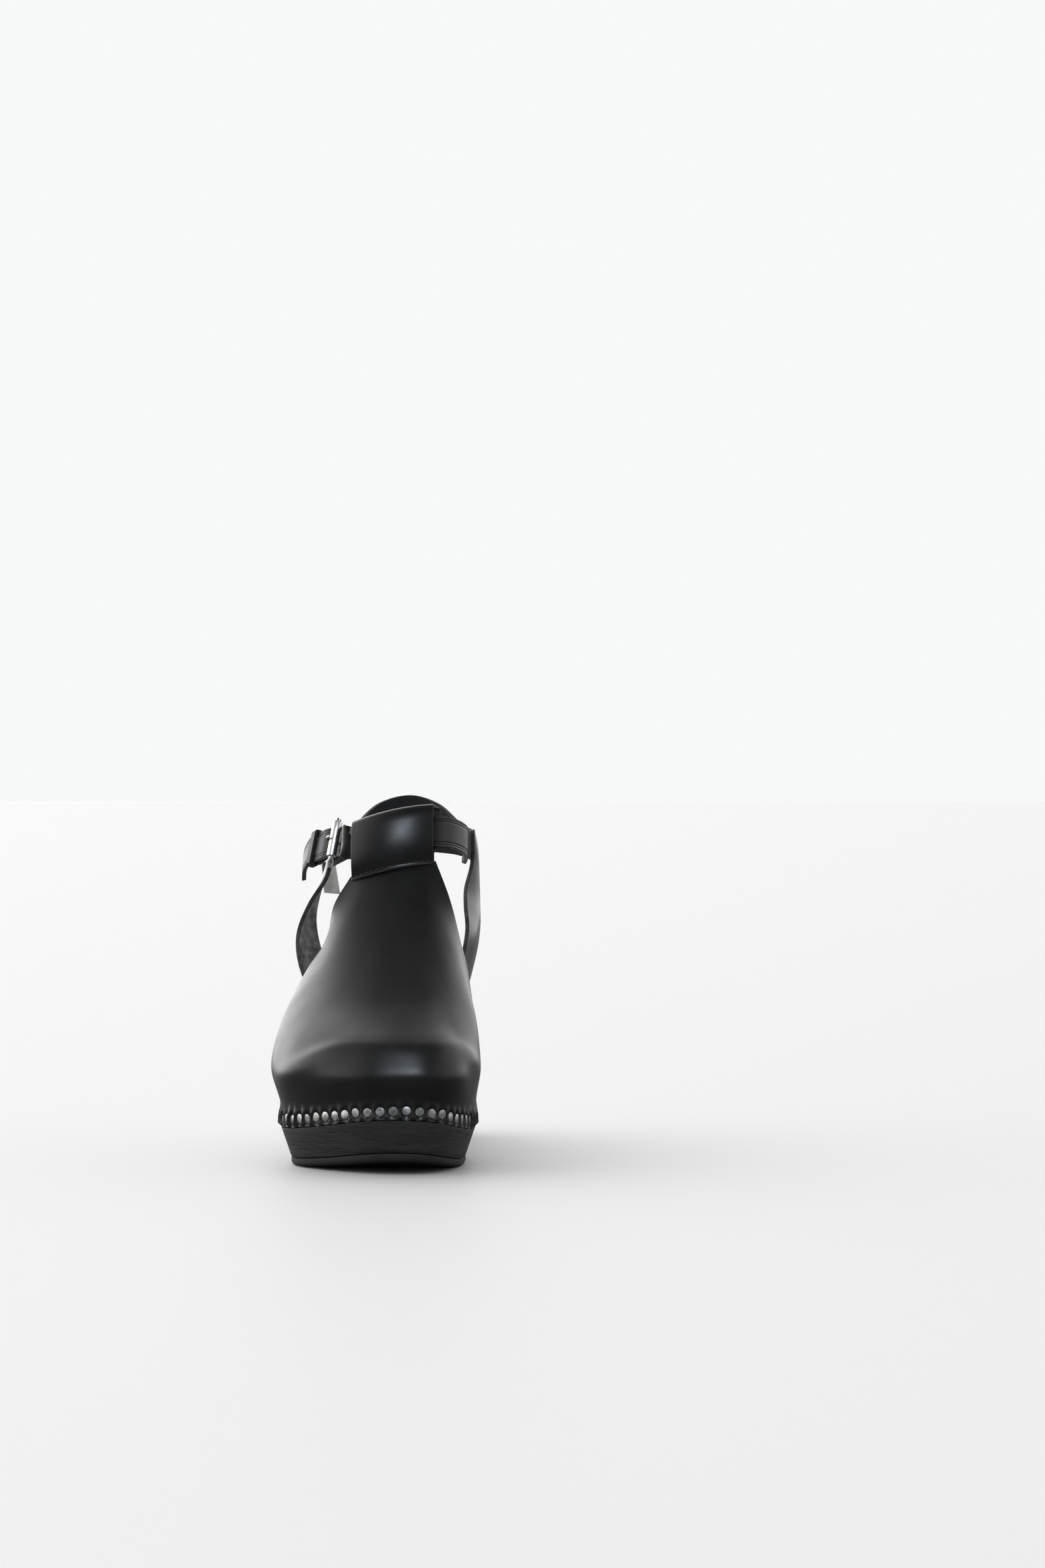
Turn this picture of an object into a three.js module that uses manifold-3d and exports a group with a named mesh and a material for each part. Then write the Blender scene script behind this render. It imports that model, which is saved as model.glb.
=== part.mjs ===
// A closed-toe wooden clog for the right foot: a black platform and heel in wood, a nailed leather vamp
// with a T-bar loop, an ankle strap with a roller buckle, and an open-heel quarter. Millimetres, +Z up,
// toe towards -Y, the buckle side towards -X. Shapes are drawn as (x, back, z), back from the toe tip.
import * as THREE from "three";
import { mergeVertices } from "three/addons/utils/BufferGeometryUtils.js";
import Module from "manifold-3d";

// Overall sizes
const soleLength = 240;
const ballWidth = 97.3;
const ballHeight = 27; // top of the wood at the ball
const heelSeatHeight = 87; // top of the wood at the heel
const toeSpring = 8; // how far the toe lifts off the ground
const upperHeight = 157; // footbed at the ball up to the peak of the collar

// Wood and rubber
const woodThickness = 23;
const outsoleThickness = 4;
const outsoleEnd = 118; // how far back the front rubber reaches
const heelBreast = 174; // front face of the heel
const liftThickness = 8;
const sideTaper = 4.5; // how much narrower the wood is at the bottom, each side
const footbedDish = 3;
const ledgeDrop = 8; // height of the band that the leather is nailed to
const edgeRound = 1.4;

// Leather
const leather = 2.2;
const vampEnd = 137; // where the vamp's wings stop on the wood
const legFront = 143; // where each leg of the quarter starts on the wood
const legBack = 171;
const strapWidth = 16.5;
const loopHeight = 30.5; // stitch line up to the fold
const loopWidth = 43;
const loopSlant = 9.5; // rise of the loop from the outer to the inner side
const tunnelGap = 0.55; // free space each side of the strap in the loop
const keeperWidth = 5;
const keeperLeather = 1.3;
const chapeLeather = 1.6;

// Metal
const barDiameter = 2.2;
const frameSide = 3.1; // the two side bars are thicker
const rollerDiameter = 5;
const rollerLength = strapWidth + 3;
const rollerBore = 2.9;
const frameDepth = 13.1; // hinge bar to roller bar
const frameInside = strapWidth + 4.1; // between the side bars
const prongWidth = 2.2;
const prongThickness = 1.8;
const nailHead = 4.6;
const nailHeadHeight = 1.1;
const nailShank = 1.7;
const nailReach = 9; // head to point
const nailPitch = 6.4;
const vampNails = 52; // nails along the vamp's edge; every second one is a piece of its own
const nailHeight = 4; // nail centre above the leather's lower edge
const legNails = 5;

const fit = 0.3; // gap between pieces that touch
const slotSlack = 0.6; // room round the prong

const wasm = await Module();
wasm.setup();

// The shapes are drawn for one last and graded to the sizes above.
const drawn = { length: 240, width: 97.3, ball: 27, seat: 87, upper: 157 };
const gradeLength = soleLength / drawn.length;
const gradeWidth = ballWidth / drawn.width;

const clampUnit = (t) => Math.min(1, Math.max(0, t));
const smooth = (t) => clampUnit(t) ** 2 * (3 - 2 * clampUnit(t));

// Height of the wood's rim at a distance behind the toe.
function rimHeight(back, size = { length: soleLength, ball: ballHeight, seat: heelSeatHeight }) {
  const t = back / size.length;
  const spring = toeSpring * clampUnit(1 - t / 0.22) ** 2;
  return size.ball + spring + (size.seat - size.ball) * smooth((t - 0.28) / 0.6);
}

// A point drawn on the base last, moved to this size. Heights are kept relative to the rim below them.
function last(x, back, z) {
  const above = z - rimHeight(back, drawn);
  return new THREE.Vector3(
    x * gradeWidth,
    back * gradeLength,
    rimHeight(back * gradeLength) + (above * upperHeight) / drawn.upper,
  );
}

const ledgeHeight = (back) => rimHeight(back) - ledgeDrop;

// Plan of the wood at its widest, from the heel along the outer side to the toe and back along the inner.
const plan = new THREE.CatmullRomCurve3(
  [
    [0, 240], [-23, 228], [-31, 205], [-33.5, 180], [-36, 150], [-42, 120], [-50, 90], [-53.8, 66],
    [-51, 44], [-41, 28], [-26, 14], [-10, 3.4], [7, 0], [22, 2.4], [32, 11], [38.5, 25], [42.5, 43],
    [43.5, 62], [41.5, 88], [36.5, 115], [33.5, 145], [33, 180], [31, 205], [23, 228],
  ].map(([x, back]) => new THREE.Vector3(x * gradeWidth, back * gradeLength, 0)),
  true,
);
const planPoints = plan.getSpacedPoints(720);
const toeIndex = planPoints.reduce((best, p, i) => (p.y < planPoints[best].y ? i : best), 0);
const outerSide = planPoints.slice(0, toeIndex + 1).reverse();
const innerSide = planPoints.slice(toeIndex);

// Where one side of the plan crosses a distance behind the toe.
function sideX(side, back) {
  const i = side.findIndex((p) => p.y >= back);
  if (i < 1) return side[i < 0 ? side.length - 1 : 0].x;
  const [a, b] = [side[i - 1], side[i]];
  return a.x + ((b.x - a.x) * (back - a.y)) / Math.max(1e-6, b.y - a.y);
}

// Distance along one side of the plan from the toe tip to a distance behind the toe.
function sideRun(side, back) {
  let run = 0;
  for (let i = 1; i < side.length && side[i].y < back; i++) run += side[i].distanceTo(side[i - 1]);
  return run;
}

// The plan as a run: 0 at the toe tip, negative along the outer side, positive along the inner side.
function planAt(run) {
  const side = run < 0 ? outerSide : innerSide;
  let left = Math.abs(run);
  let i = 1;
  while (i < side.length - 1 && left > side[i].distanceTo(side[i - 1])) {
    left -= side[i].distanceTo(side[i - 1]);
    i++;
  }
  const step = side[i].distanceTo(side[i - 1]);
  const point = side[i - 1].clone().lerp(side[i], left / step);
  const along = side[i].clone().sub(side[i - 1]).normalize();
  const outward = run < 0 ? new THREE.Vector3(-along.y, along.x, 0) : new THREE.Vector3(along.y, -along.x, 0);
  return { point, outward };
}

// Closed meshes

function solidFrom(points, faces) {
  const geometry = new THREE.BufferGeometry().setFromPoints(points);
  geometry.setIndex(faces.flat());
  return toSolid(geometry);
}

function toSolid(geometry) {
  const bare = geometry.clone();
  bare.deleteAttribute("normal");
  bare.deleteAttribute("uv");
  const merged = mergeVertices(bare, 1e-4);
  const mesh = {
    numProp: 3,
    vertProperties: merged.attributes.position.array,
    triVerts: new Uint32Array(merged.index.array),
  };
  let solid = new wasm.Manifold(new wasm.Mesh(mesh));
  if (solid.volume() < 0) {
    for (let i = 0; i < mesh.triVerts.length; i += 3) {
      [mesh.triVerts[i], mesh.triVerts[i + 1]] = [mesh.triVerts[i + 1], mesh.triVerts[i]];
    }
    solid = new wasm.Manifold(new wasm.Mesh(mesh));
  }
  return solid;
}

function toGeometry(solid) {
  const mesh = solid.getMesh();
  const positions = new Float32Array(mesh.numVert * 3);
  for (let i = 0; i < mesh.numVert; i++) {
    for (let k = 0; k < 3; k++) positions[3 * i + k] = mesh.vertProperties[mesh.numProp * i + k];
  }
  const geometry = new THREE.BufferGeometry();
  geometry.setAttribute("position", new THREE.BufferAttribute(positions, 3));
  geometry.setIndex(new THREE.BufferAttribute(new Uint32Array(mesh.triVerts), 1));
  const flat = geometry.toNonIndexed();
  flat.computeVertexNormals();
  return flat;
}

// A closed body through rings with equal numbers of points, closed at both ends by a fan.
function loft(rings) {
  const count = rings[0].length;
  const points = rings.flat();
  const faces = [];
  rings.slice(1).forEach((_, r) => {
    for (let i = 0; i < count; i++) {
      const [a, b] = [r * count + i, r * count + ((i + 1) % count)];
      faces.push([a, b, b + count], [a, b + count, a + count]);
    }
  });
  [rings[0], rings[rings.length - 1]].forEach((ring, end) => {
    const middle = points.length;
    points.push(ring.reduce((sum, p) => sum.add(p), new THREE.Vector3()).divideScalar(count));
    const first = end * (rings.length - 1) * count;
    for (let i = 0; i < count; i++) {
      const [a, b] = [first + i, first + ((i + 1) % count)];
      faces.push(end ? [a, b, middle] : [b, a, middle]);
    }
  });
  return solidFrom(points, faces);
}

// A sheet of one thickness under an outer surface given as a function of two numbers from 0 to 1.
function sheet(surface, across, along, thickness, lift = 0) {
  const at = (i, j) => surface(i / across, j / along);
  const normalAt = (i, j) => {
    const du = at(Math.min(across, i + 0.5), j).sub(at(Math.max(0, i - 0.5), j));
    const dv = at(i, Math.min(along, j + 0.5)).sub(at(i, Math.max(0, j - 0.5)));
    return du.cross(dv).normalize();
  };
  const width = along + 1;
  const outer = [];
  const inner = [];
  for (let i = 0; i <= across; i++) {
    for (let j = 0; j <= along; j++) {
      const [p, n] = [at(i, j), normalAt(i, j)];
      outer.push(p.clone().addScaledVector(n, lift));
      inner.push(p.clone().addScaledVector(n, lift - thickness));
    }
  }
  const faces = [];
  const offset = outer.length;
  const quad = (a, b, c, d) => faces.push([a, b, c], [a, c, d]);
  for (let i = 0; i < across; i++) {
    for (let j = 0; j < along; j++) {
      const a = i * width + j;
      quad(a, a + width, a + width + 1, a + 1);
      quad(offset + a + 1, offset + a + width + 1, offset + a + width, offset + a);
    }
  }
  for (let i = 0; i < across; i++) {
    const [a, b] = [i * width, i * width + along];
    quad(a, offset + a, offset + a + width, a + width);
    quad(b + width, offset + b + width, offset + b, b);
  }
  for (let j = 0; j < along; j++) {
    const b = across * width + j;
    quad(j + 1, offset + j + 1, offset + j, j);
    quad(b, offset + b, offset + b + 1, b + 1);
  }
  return solidFrom([...outer, ...inner], faces);
}

// A band of leather along a path, with its width direction given at each point of the path.
function band(path, widthDirections, width, thickness, steps) {
  const centre = new THREE.CatmullRomCurve3(path);
  const directions = new THREE.CatmullRomCurve3(widthDirections);
  const rings = [];
  for (let i = 0; i <= steps; i++) {
    const t = i / steps;
    const point = centre.getPoint(t);
    const tangent = centre.getTangent(t);
    const direction = directions.getPoint(t);
    const wide = direction.addScaledVector(tangent, -direction.dot(tangent)).normalize();
    const thick = tangent.clone().cross(wide).normalize();
    const middle = (b) => point.clone().addScaledVector(thick, (b * thickness) / 2);
    const corner = (a, b) => middle(b).addScaledVector(wide, (a * width) / 2);
    rings.push([corner(-1, -1), corner(0, -1), corner(1, -1), corner(1, 1), corner(0, 1), corner(-1, 1)]);
  }
  return loft(rings);
}

// An extruded outline, centred on its depth and placed by a matrix.
function plate(outline, depth, matrix, holes = []) {
  const shape = new THREE.Shape(outline.map(([x, y]) => new THREE.Vector2(x, y)));
  holes.forEach((hole) => shape.holes.push(new THREE.Path(hole.map(([x, y]) => new THREE.Vector2(x, y)))));
  const geometry = new THREE.ExtrudeGeometry(shape, { depth, bevelEnabled: false, steps: 1 });
  return toSolid(geometry.translate(0, 0, -depth / 2).applyMatrix4(matrix));
}

// A straight round rod between two points.
function rod(from, to, diameter, sides = 10) {
  const axis = to.clone().sub(from);
  const geometry = new THREE.CylinderGeometry(diameter / 2, diameter / 2, axis.length(), sides);
  const upright = new THREE.Vector3(0, 1, 0);
  const turn = new THREE.Quaternion().setFromUnitVectors(upright, axis.clone().normalize());
  return toSolid(geometry.applyQuaternion(turn).translate(...from.clone().lerp(to, 0.5).toArray()));
}

// Wood and rubber

// Distances behind the toe at which the sole is cut, closer together at its round ends.
function stations(from, to, extra = []) {
  const list = [];
  for (const step of [0.04, 0.35, 1.1, 2, 3.2, 5, 7.5, 10.5, 14, 18, 23]) list.push(from + step, to - step);
  for (let s = from + 29; s < to - 27; s += 7) list.push(s);
  const near = (a) => extra.some((b) => Math.abs(a - b) < 2);
  return [...list.filter((a) => !near(a)), ...extra].sort((a, b) => a - b);
}

const underside = (back) => rimHeight(back) - woodThickness;

// One side of the plan, moved inwards by an amount.
const insetSides = new Map();
function insetSide(side, narrow) {
  const key = `${side === outerSide} ${narrow}`;
  if (!insetSides.has(key)) {
    const sign = side === outerSide ? 1 : -1;
    insetSides.set(key, side.map((p, i) => {
      const along = side[Math.min(side.length - 1, i + 1)].clone().sub(side[Math.max(0, i - 1)]).normalize();
      return new THREE.Vector3(p.x + sign * along.y * narrow, p.y - sign * along.x * narrow, 0);
    }));
  }
  return insetSides.get(key);
}

// The two edge points of a cut, inset all round by an amount. The height is given as a function of back.
function edgePair(back, narrow, height) {
  const at = narrow + (back * (soleLength - 2 * narrow)) / soleLength;
  const edge = (side) => new THREE.Vector3(sideX(insetSide(side, narrow), at), at, height(at));
  return [edge(outerSide), edge(innerSide)];
}

// The same edge points drawn in towards the middle by a share of the width, for the hollow of the footbed.
function drawnIn([outer, inner], share, drop) {
  return [outer.clone().lerp(inner, share), inner.clone().lerp(outer, share)].map((p) => p.setZ(p.z - drop));
}

function woodRing(back) {
  const inHeel = back > heelBreast * gradeLength;
  const low = (s) => (inHeel ? liftThickness : underside(s));
  const rebate = leather + 2 * fit;
  const rimEdge = edgePair(back, rebate + edgeRound, rimHeight);
  const pairs = [
    edgePair(back, sideTaper + edgeRound, low),
    edgePair(back, sideTaper, (s) => low(s) + edgeRound),
    edgePair(back, 0, (s) => ledgeHeight(s) - fit),
    edgePair(back, rebate, ledgeHeight),
    edgePair(back, rebate, (s) => rimHeight(s) - edgeRound),
    rimEdge,
    drawnIn(rimEdge, 0.14, footbedDish * 0.75),
    drawnIn(rimEdge, 0.32, footbedDish),
  ];
  return [...pairs.map((p) => p[0]), ...pairs.map((p) => p[1]).reverse()];
}

function woodenSole() {
  const breastAt = heelBreast * gradeLength;
  const cuts = stations(0, soleLength, [breastAt - 0.01, breastAt + 2.5]);
  return loft(cuts.map(woodRing));
}

function frontOutsole() {
  const end = outsoleEnd * gradeLength;
  const flat = [0.22, 0.28].map((t) => t * soleLength);
  const top = (s) => underside(s) - fit;
  const low = (s) => top(s) - (outsoleThickness - fit) * (0.3 + 0.7 * smooth((end - s) / 10));
  const ring = (back) => {
    const pairs = [
      edgePair(back, sideTaper + edgeRound * 1.6, low),
      edgePair(back, sideTaper + edgeRound * 0.6, (s) => (low(s) + top(s)) / 2),
      edgePair(back, sideTaper + edgeRound * 0.6, top),
    ];
    return [...pairs.map((p) => p[0]), ...pairs.map((p) => p[1]).reverse()];
  };
  const cuts = stations(0, soleLength, flat).filter((s) => s < end - 4);
  return loft([...cuts, end].map(ring));
}

function heelLift() {
  const breastAt = heelBreast * gradeLength + 2.7;
  const ring = (back) => {
    const pairs = [
      edgePair(back, sideTaper + edgeRound, () => 0),
      edgePair(back, sideTaper + 0.4, () => edgeRound),
      edgePair(back, sideTaper + 0.4, () => liftThickness - fit),
    ];
    return [...pairs.map((p) => p[0]), ...pairs.map((p) => p[1]).reverse()];
  };
  const cuts = stations(0, soleLength, [breastAt]).filter((s) => s >= breastAt);
  return loft(cuts.map(ring));
}

// Vamp

const outerRun = -sideRun(outerSide, vampEnd * gradeLength);
const innerRun = sideRun(innerSide, vampEnd * gradeLength);

function weltRail(above) {
  return {
    getPoint: (t) => {
      const { point, outward } = planAt(outerRun + (innerRun - outerRun) * t);
      return point.addScaledVector(outward, -0.1).setZ(ledgeHeight(point.y) + above);
    },
  };
}

const rail = (points) => {
  const curve = new THREE.CatmullRomCurve3(points.map((p) => last(...p)));
  return { getPoint: (t) => curve.getPointAt(t) };
};

const vampRails = [
  weltRail(fit),
  weltRail(ledgeDrop + 1),
  rail([
    [-45.5, 133, 74], [-56, 100, 58], [-59.4, 68, 49], [-50, 34, 47], [-30, 12, 48], [-8, -1, 49],
    [7, -3.4, 49],
    [24, -1, 49], [37, 11, 48], [43, 30, 47], [45.6, 62, 49], [42, 98, 58], [36.5, 133, 74],
  ]),
  rail([
    [-48.5, 129, 90], [-52.7, 102, 80], [-55, 76, 69], [-43, 40, 64], [-22, 19, 64], [7, 9.5, 64.5],
    [25, 14, 64],
    [36, 34, 65], [43, 68, 70], [40, 100, 80], [37, 128, 90],
  ]),
  rail([
    [-36.5, 122, 110], [-38.8, 108, 103], [-36, 88, 96], [-24, 64, 88], [-8, 49, 83], [5, 46, 82],
    [18, 51, 84],
    [28, 68, 90], [33, 90, 98], [33.5, 110, 105], [33, 121, 109],
  ]),
  rail([[-33, 124, 127], [-21, 112, 125], [-5, 106, 124], [14, 111, 128], [27.5, 123, 130]]),
  rail([[-25, 131.6, 141.6], [-14, 127.2, 143.4], [-3, 125.3, 145.7], [9, 127.2, 148.2], [19.5, 131.4, 150]]),
];

function vampSurface(up, around) {
  const points = vampRails.map((r) => r.getPoint(around));
  return new THREE.CatmullRomCurve3(points).getPoint(up);
}

// T-bar loop

const loopOrigin = last(-2.9, 129.3, 145.8);
const loopAcross = new THREE.Vector3(loopWidth, 0, loopSlant).normalize();
const loopUp = new THREE.Vector3(0, 0.3, 1).normalize(); // upright sides between a slanting foot and fold
const loopFront = loopAcross.clone().cross(loopUp).normalize().negate();
if (loopFront.y > 0) loopFront.negate();
const tunnelDepth = leather + 2 * tunnelGap;
const foldRadius = leather + tunnelDepth / 2;
const loopBow = 6; // how far the middle of the loop stands forward of its ends

// A point of the loop: across from -1 to 1, forward of the vamp's middle layer, and up from the stitch line.
function loopPoint(across, forward, up) {
  const bow = loopBow * (1 - across * across) - loopBow / 2;
  return loopOrigin
    .clone()
    .addScaledVector(loopAcross, (across * loopWidth) / 2)
    .addScaledVector(loopFront, forward + bow)
    .addScaledVector(loopUp, up);
}

function loopOutline(inner) {
  const back = inner ? leather / 2 : -leather / 2;
  const front = leather / 2 + tunnelDepth + (inner ? 0 : leather);
  const bendUp = loopHeight - foldRadius;
  const radius = (front - back) / 2;
  const outline = [[back, inner ? 1.5 : -5], [back, bendUp]];
  for (let i = 1; i <= 7; i++) {
    const angle = Math.PI * (1 - i / 8);
    outline.push([(front + back) / 2 + radius * Math.cos(angle), bendUp + radius * Math.sin(angle)]);
  }
  outline.push([front, bendUp], [front, 8], [front - (inner ? 0.6 : 0.4), 4.5]);
  const flap = leather * 1.5; // outer face of the flap where it is sewn down
  if (!inner) outline.push([flap, -0.5], [flap, -1.2], [leather / 2, -1.2], [leather / 2, -5]);
  return outline;
}

function loopSolid(inner) {
  const outline = loopOutline(inner);
  const reach = inner ? 1.2 : 1;
  const rings = [];
  for (let i = 0; i <= 8; i++) {
    const across = reach * (i / 4 - 1);
    rings.push(outline.map(([forward, up]) => loopPoint(across, forward, up)));
  }
  return loft(rings);
}

// Quarter

// Matching points of the quarter's front and top edge and of its rear and bottom edge, from the outer
// leg to the inner leg.
const legFoot = (side, back) => {
  const at = back * gradeLength;
  return new THREE.Vector3(sideX(side, at), at, ledgeHeight(at) + 1.5 * fit);
};
const legBand = (side, back) => legFoot(side, back).setZ(rimHeight(back * gradeLength) + 1);
const quarterEdges = [
  [legFoot(outerSide, legFront), legFoot(outerSide, legBack)],
  [legBand(outerSide, legFront), legBand(outerSide, legBack)],
  [last(-49, 147, 82), last(-41.5, 171, 92)],
  [last(-55, 152, 99), last(-46.5, 174, 106)],
  [last(-55.6, 158, 112), last(-48.5, 179, 119)],
  [last(-50, 163, 127), last(-47, 186, 132)],
  [last(-41.2, 169, 142), last(-44.8, 194, 140)],
  [last(-38.4, 176, 161), last(-41.5, 202, 146)],
  [last(-38, 196, 162.5), last(-36.5, 210, 148.5)],
  [last(-32, 212, 165.5), last(-29, 219.5, 151)],
  [last(-17.5, 226.5, 179.6), last(-15.5, 227.5, 152.5)],
  [last(0, 231, 184), last(0, 230.5, 153.5)],
  [last(15.5, 227, 179.6), last(15.5, 227.5, 152.5)],
  [last(28.5, 215, 169), last(29, 219.5, 151)],
  [last(36.2, 198, 165.3), last(36.2, 210, 148.5)],
  [last(37, 189, 165), last(38, 203, 145)],
  [last(36.5, 186, 148), last(39.3, 197, 137)],
  [last(33.6, 177, 135), last(40, 191, 126)],
  [last(34, 168, 126), last(40.4, 186, 116)],
  [last(35.4, 160, 114), last(39.4, 180, 104)],
  [last(33.2, 151, 94), last(36.5, 173, 90)],
  [legBand(innerSide, legFront), legBand(innerSide, legBack)],
  [legFoot(innerSide, legFront), legFoot(innerSide, legBack)],
];
const quarterFront = new THREE.CatmullRomCurve3(quarterEdges.map((p) => p[0]));
const quarterRear = new THREE.CatmullRomCurve3(quarterEdges.map((p) => p[1]));

function quarterSurface(along, across) {
  const point = quarterFront.getPoint(along).lerp(quarterRear.getPoint(along), across);
  const middle = last(0, 190, 130);
  const outward = new THREE.Vector3(point.x - middle.x, point.y - middle.y, 0).normalize();
  const crown = smooth(along * 9) * smooth((1 - along) * 9);
  return point.addScaledVector(outward, 1.2 * crown * Math.sin(Math.PI * across));
}

const quarterSolid = (extra) => sheet(quarterSurface, 66, 4, leather + 2 * extra, extra);

// Buckle

// The buckle's own frame: hinge point, then the way the strap runs back, outward, and down along the bar.
const hinge = last(-36.7, 168.9, 157.1);
const runBack = new THREE.Vector3(-0.36, 0.9, -0.24).normalize();
const barDown = new THREE.Vector3(-0.16, -0.33, -0.985).addScaledVector(runBack, 0).normalize();
barDown.addScaledVector(runBack, -barDown.dot(runBack)).normalize();
const outwards = runBack.clone().cross(barDown).normalize();
const buckleMatrix = new THREE.Matrix4().makeBasis(runBack, outwards, barDown).setPosition(hinge);
const buckle = (back, out, down = 0) => new THREE.Vector3(back, out, down).applyMatrix4(buckleMatrix);

const rollerOut = 3.6; // the roller stands this far outside the hinge bar
const rollerBack = -Math.sqrt(frameDepth ** 2 - rollerOut ** 2);
const barEnd = frameInside / 2 + barDiameter / 2;

function buckleFrame() {
  const corners = [
    buckle(0, 0, barEnd),
    buckle(rollerBack, rollerOut, barEnd),
    buckle(rollerBack, rollerOut, -barEnd),
    buckle(0, 0, -barEnd),
  ];
  const bars = corners.map((corner, i) => rod(corner, corners[(i + 1) % 4], i % 2 ? barDiameter : frameSide));
  const knuckles = corners.map((corner) => {
    const ball = new THREE.SphereGeometry(barDiameter * 0.52, 8, 6);
    return toSolid(ball.translate(...corner.toArray()));
  });
  return [...bars, ...knuckles].reduce((sum, piece) => sum.add(piece));
}

function buckleRoller() {
  const ring = (diameter) => {
    const outline = [];
    for (let i = 0; i < 20; i++) {
      const angle = (i / 20) * 2 * Math.PI;
      outline.push([(diameter / 2) * Math.cos(angle), (diameter / 2) * Math.sin(angle)]);
    }
    return outline;
  };
  const matrix = buckleMatrix.clone().setPosition(buckle(rollerBack, rollerOut));
  return plate(ring(rollerDiameter), rollerLength, matrix, [ring(rollerBore).reverse()]);
}

// The prong seen along the bar: an eye round the hinge bar and a tongue that ends on the roller.
const eyeBore = barDiameter / 2 + 0.35;
const eyeOuter = eyeBore + 1;
const prongTipOut = rollerOut + rollerDiameter / 2 + fit;
const prongLine = new THREE.CatmullRomCurve3(
  [
    [-1.2, eyeOuter - 1],
    [-4.2, 2.2],
    [-8.2, prongTipOut - 1.2],
    [rollerBack, prongTipOut + prongThickness / 2],
    [rollerBack - 3, prongTipOut + 0.6],
  ].map(([back, out]) => new THREE.Vector3(back, out, 0)),
);

function buckleProng() {
  const eye = [];
  const bore = [];
  for (let i = 0; i < 16; i++) {
    const angle = (i / 16) * 2 * Math.PI;
    eye.push([eyeOuter * Math.cos(angle), eyeOuter * Math.sin(angle)]);
    bore.push([eyeBore * Math.cos(angle), eyeBore * Math.sin(angle)]);
  }
  const [upper, lower] = [[], []];
  for (let i = 0; i <= 12; i++) {
    const point = prongLine.getPoint(i / 12);
    const tangent = prongLine.getTangent(i / 12);
    const half = (prongThickness / 2) * (1 - 0.35 * (i / 12) ** 3);
    upper.push([point.x - tangent.y * half, point.y + tangent.x * half]);
    lower.push([point.x + tangent.y * half, point.y - tangent.x * half]);
  }
  const tongue = plate([...upper, ...lower.reverse()], prongWidth, buckleMatrix);
  const hole = plate(bore, prongWidth * 2, buckleMatrix);
  return plate(eye, prongWidth, buckleMatrix).add(tongue).subtract(hole);
}

const chapeInner = barDiameter / 2 + 0.4;
const chapeOuter = chapeInner + chapeLeather;
const chapeLength = 17;
const chapeDroop = 2; // the inner leg follows the quarter inwards

function buckleChape() {
  const outline = [];
  const arc = (radius, from, to) => {
    for (let i = 0; i <= 10; i++) {
      const angle = from + ((to - from) * i) / 10;
      outline.push([-radius * Math.cos(angle), radius * Math.sin(angle)]);
    }
  };
  const splay = leather / 2 + fit;
  outline.push([chapeLength, splay + chapeLeather], [7, splay + chapeLeather]);
  arc(chapeOuter, Math.PI / 2, -Math.PI / 2);
  outline.push([7, -splay - chapeLeather], [chapeLength, -splay - chapeLeather - chapeDroop]);
  outline.push([chapeLength, -splay - chapeDroop], [8, -splay]);
  arc(chapeInner, -Math.PI / 2, Math.PI / 2);
  outline.push([8, splay], [chapeLength, splay]);
  const notchWidth = prongWidth + 2 * slotSlack;
  const notch = plate([[-9, -9], [5.5, -9], [5.5, 9], [-9, 9]], notchWidth, buckleMatrix);
  const rearCut = quarterSolid(fit);
  return plate(outline, strapWidth - 2, buckleMatrix).subtract(notch).subtract(rearCut);
}

// How far outside the hinge bar the strap's middle is, over the bar and in the keeper.
const strapOverBar = chapeOuter + leather / 2 + 0.4;
const strapAtKeeper = strapOverBar + 2.1;
const strapUnderRoller = rollerOut - rollerDiameter / 2 - leather / 2 - 0.7;
const keeperBack = 13.5;

function keeperLoop() {
  const inside = [strapWidth / 2 + fit + 0.2, leather / 2 + fit];
  const outside = [inside[0] + keeperLeather, inside[1] + keeperLeather];
  const box = ([wide, thick]) => [[-thick, -wide], [thick, -wide], [thick, wide], [-thick, wide]];
  const turn = Math.atan2(1, 7);
  const along = runBack.clone().multiplyScalar(Math.cos(turn)).addScaledVector(outwards, Math.sin(turn));
  const out = along.clone().cross(barDown).normalize();
  const matrix = new THREE.Matrix4().makeBasis(out, barDown, along);
  matrix.setPosition(buckle(keeperBack, strapAtKeeper));
  return plate(box(outside), keeperWidth, matrix, [box(inside).reverse()]);
}

// Ankle strap

const tunnelMiddle = leather / 2 + tunnelDepth / 2;
const strapUp = (loopHeight - foldRadius) / 2 + 3.4;
const strapTilt = 1.5; // the strap slants less than the loop does

const inTunnel = (across) => loopPoint(across, tunnelMiddle, strapUp - strapTilt * across);

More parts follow.
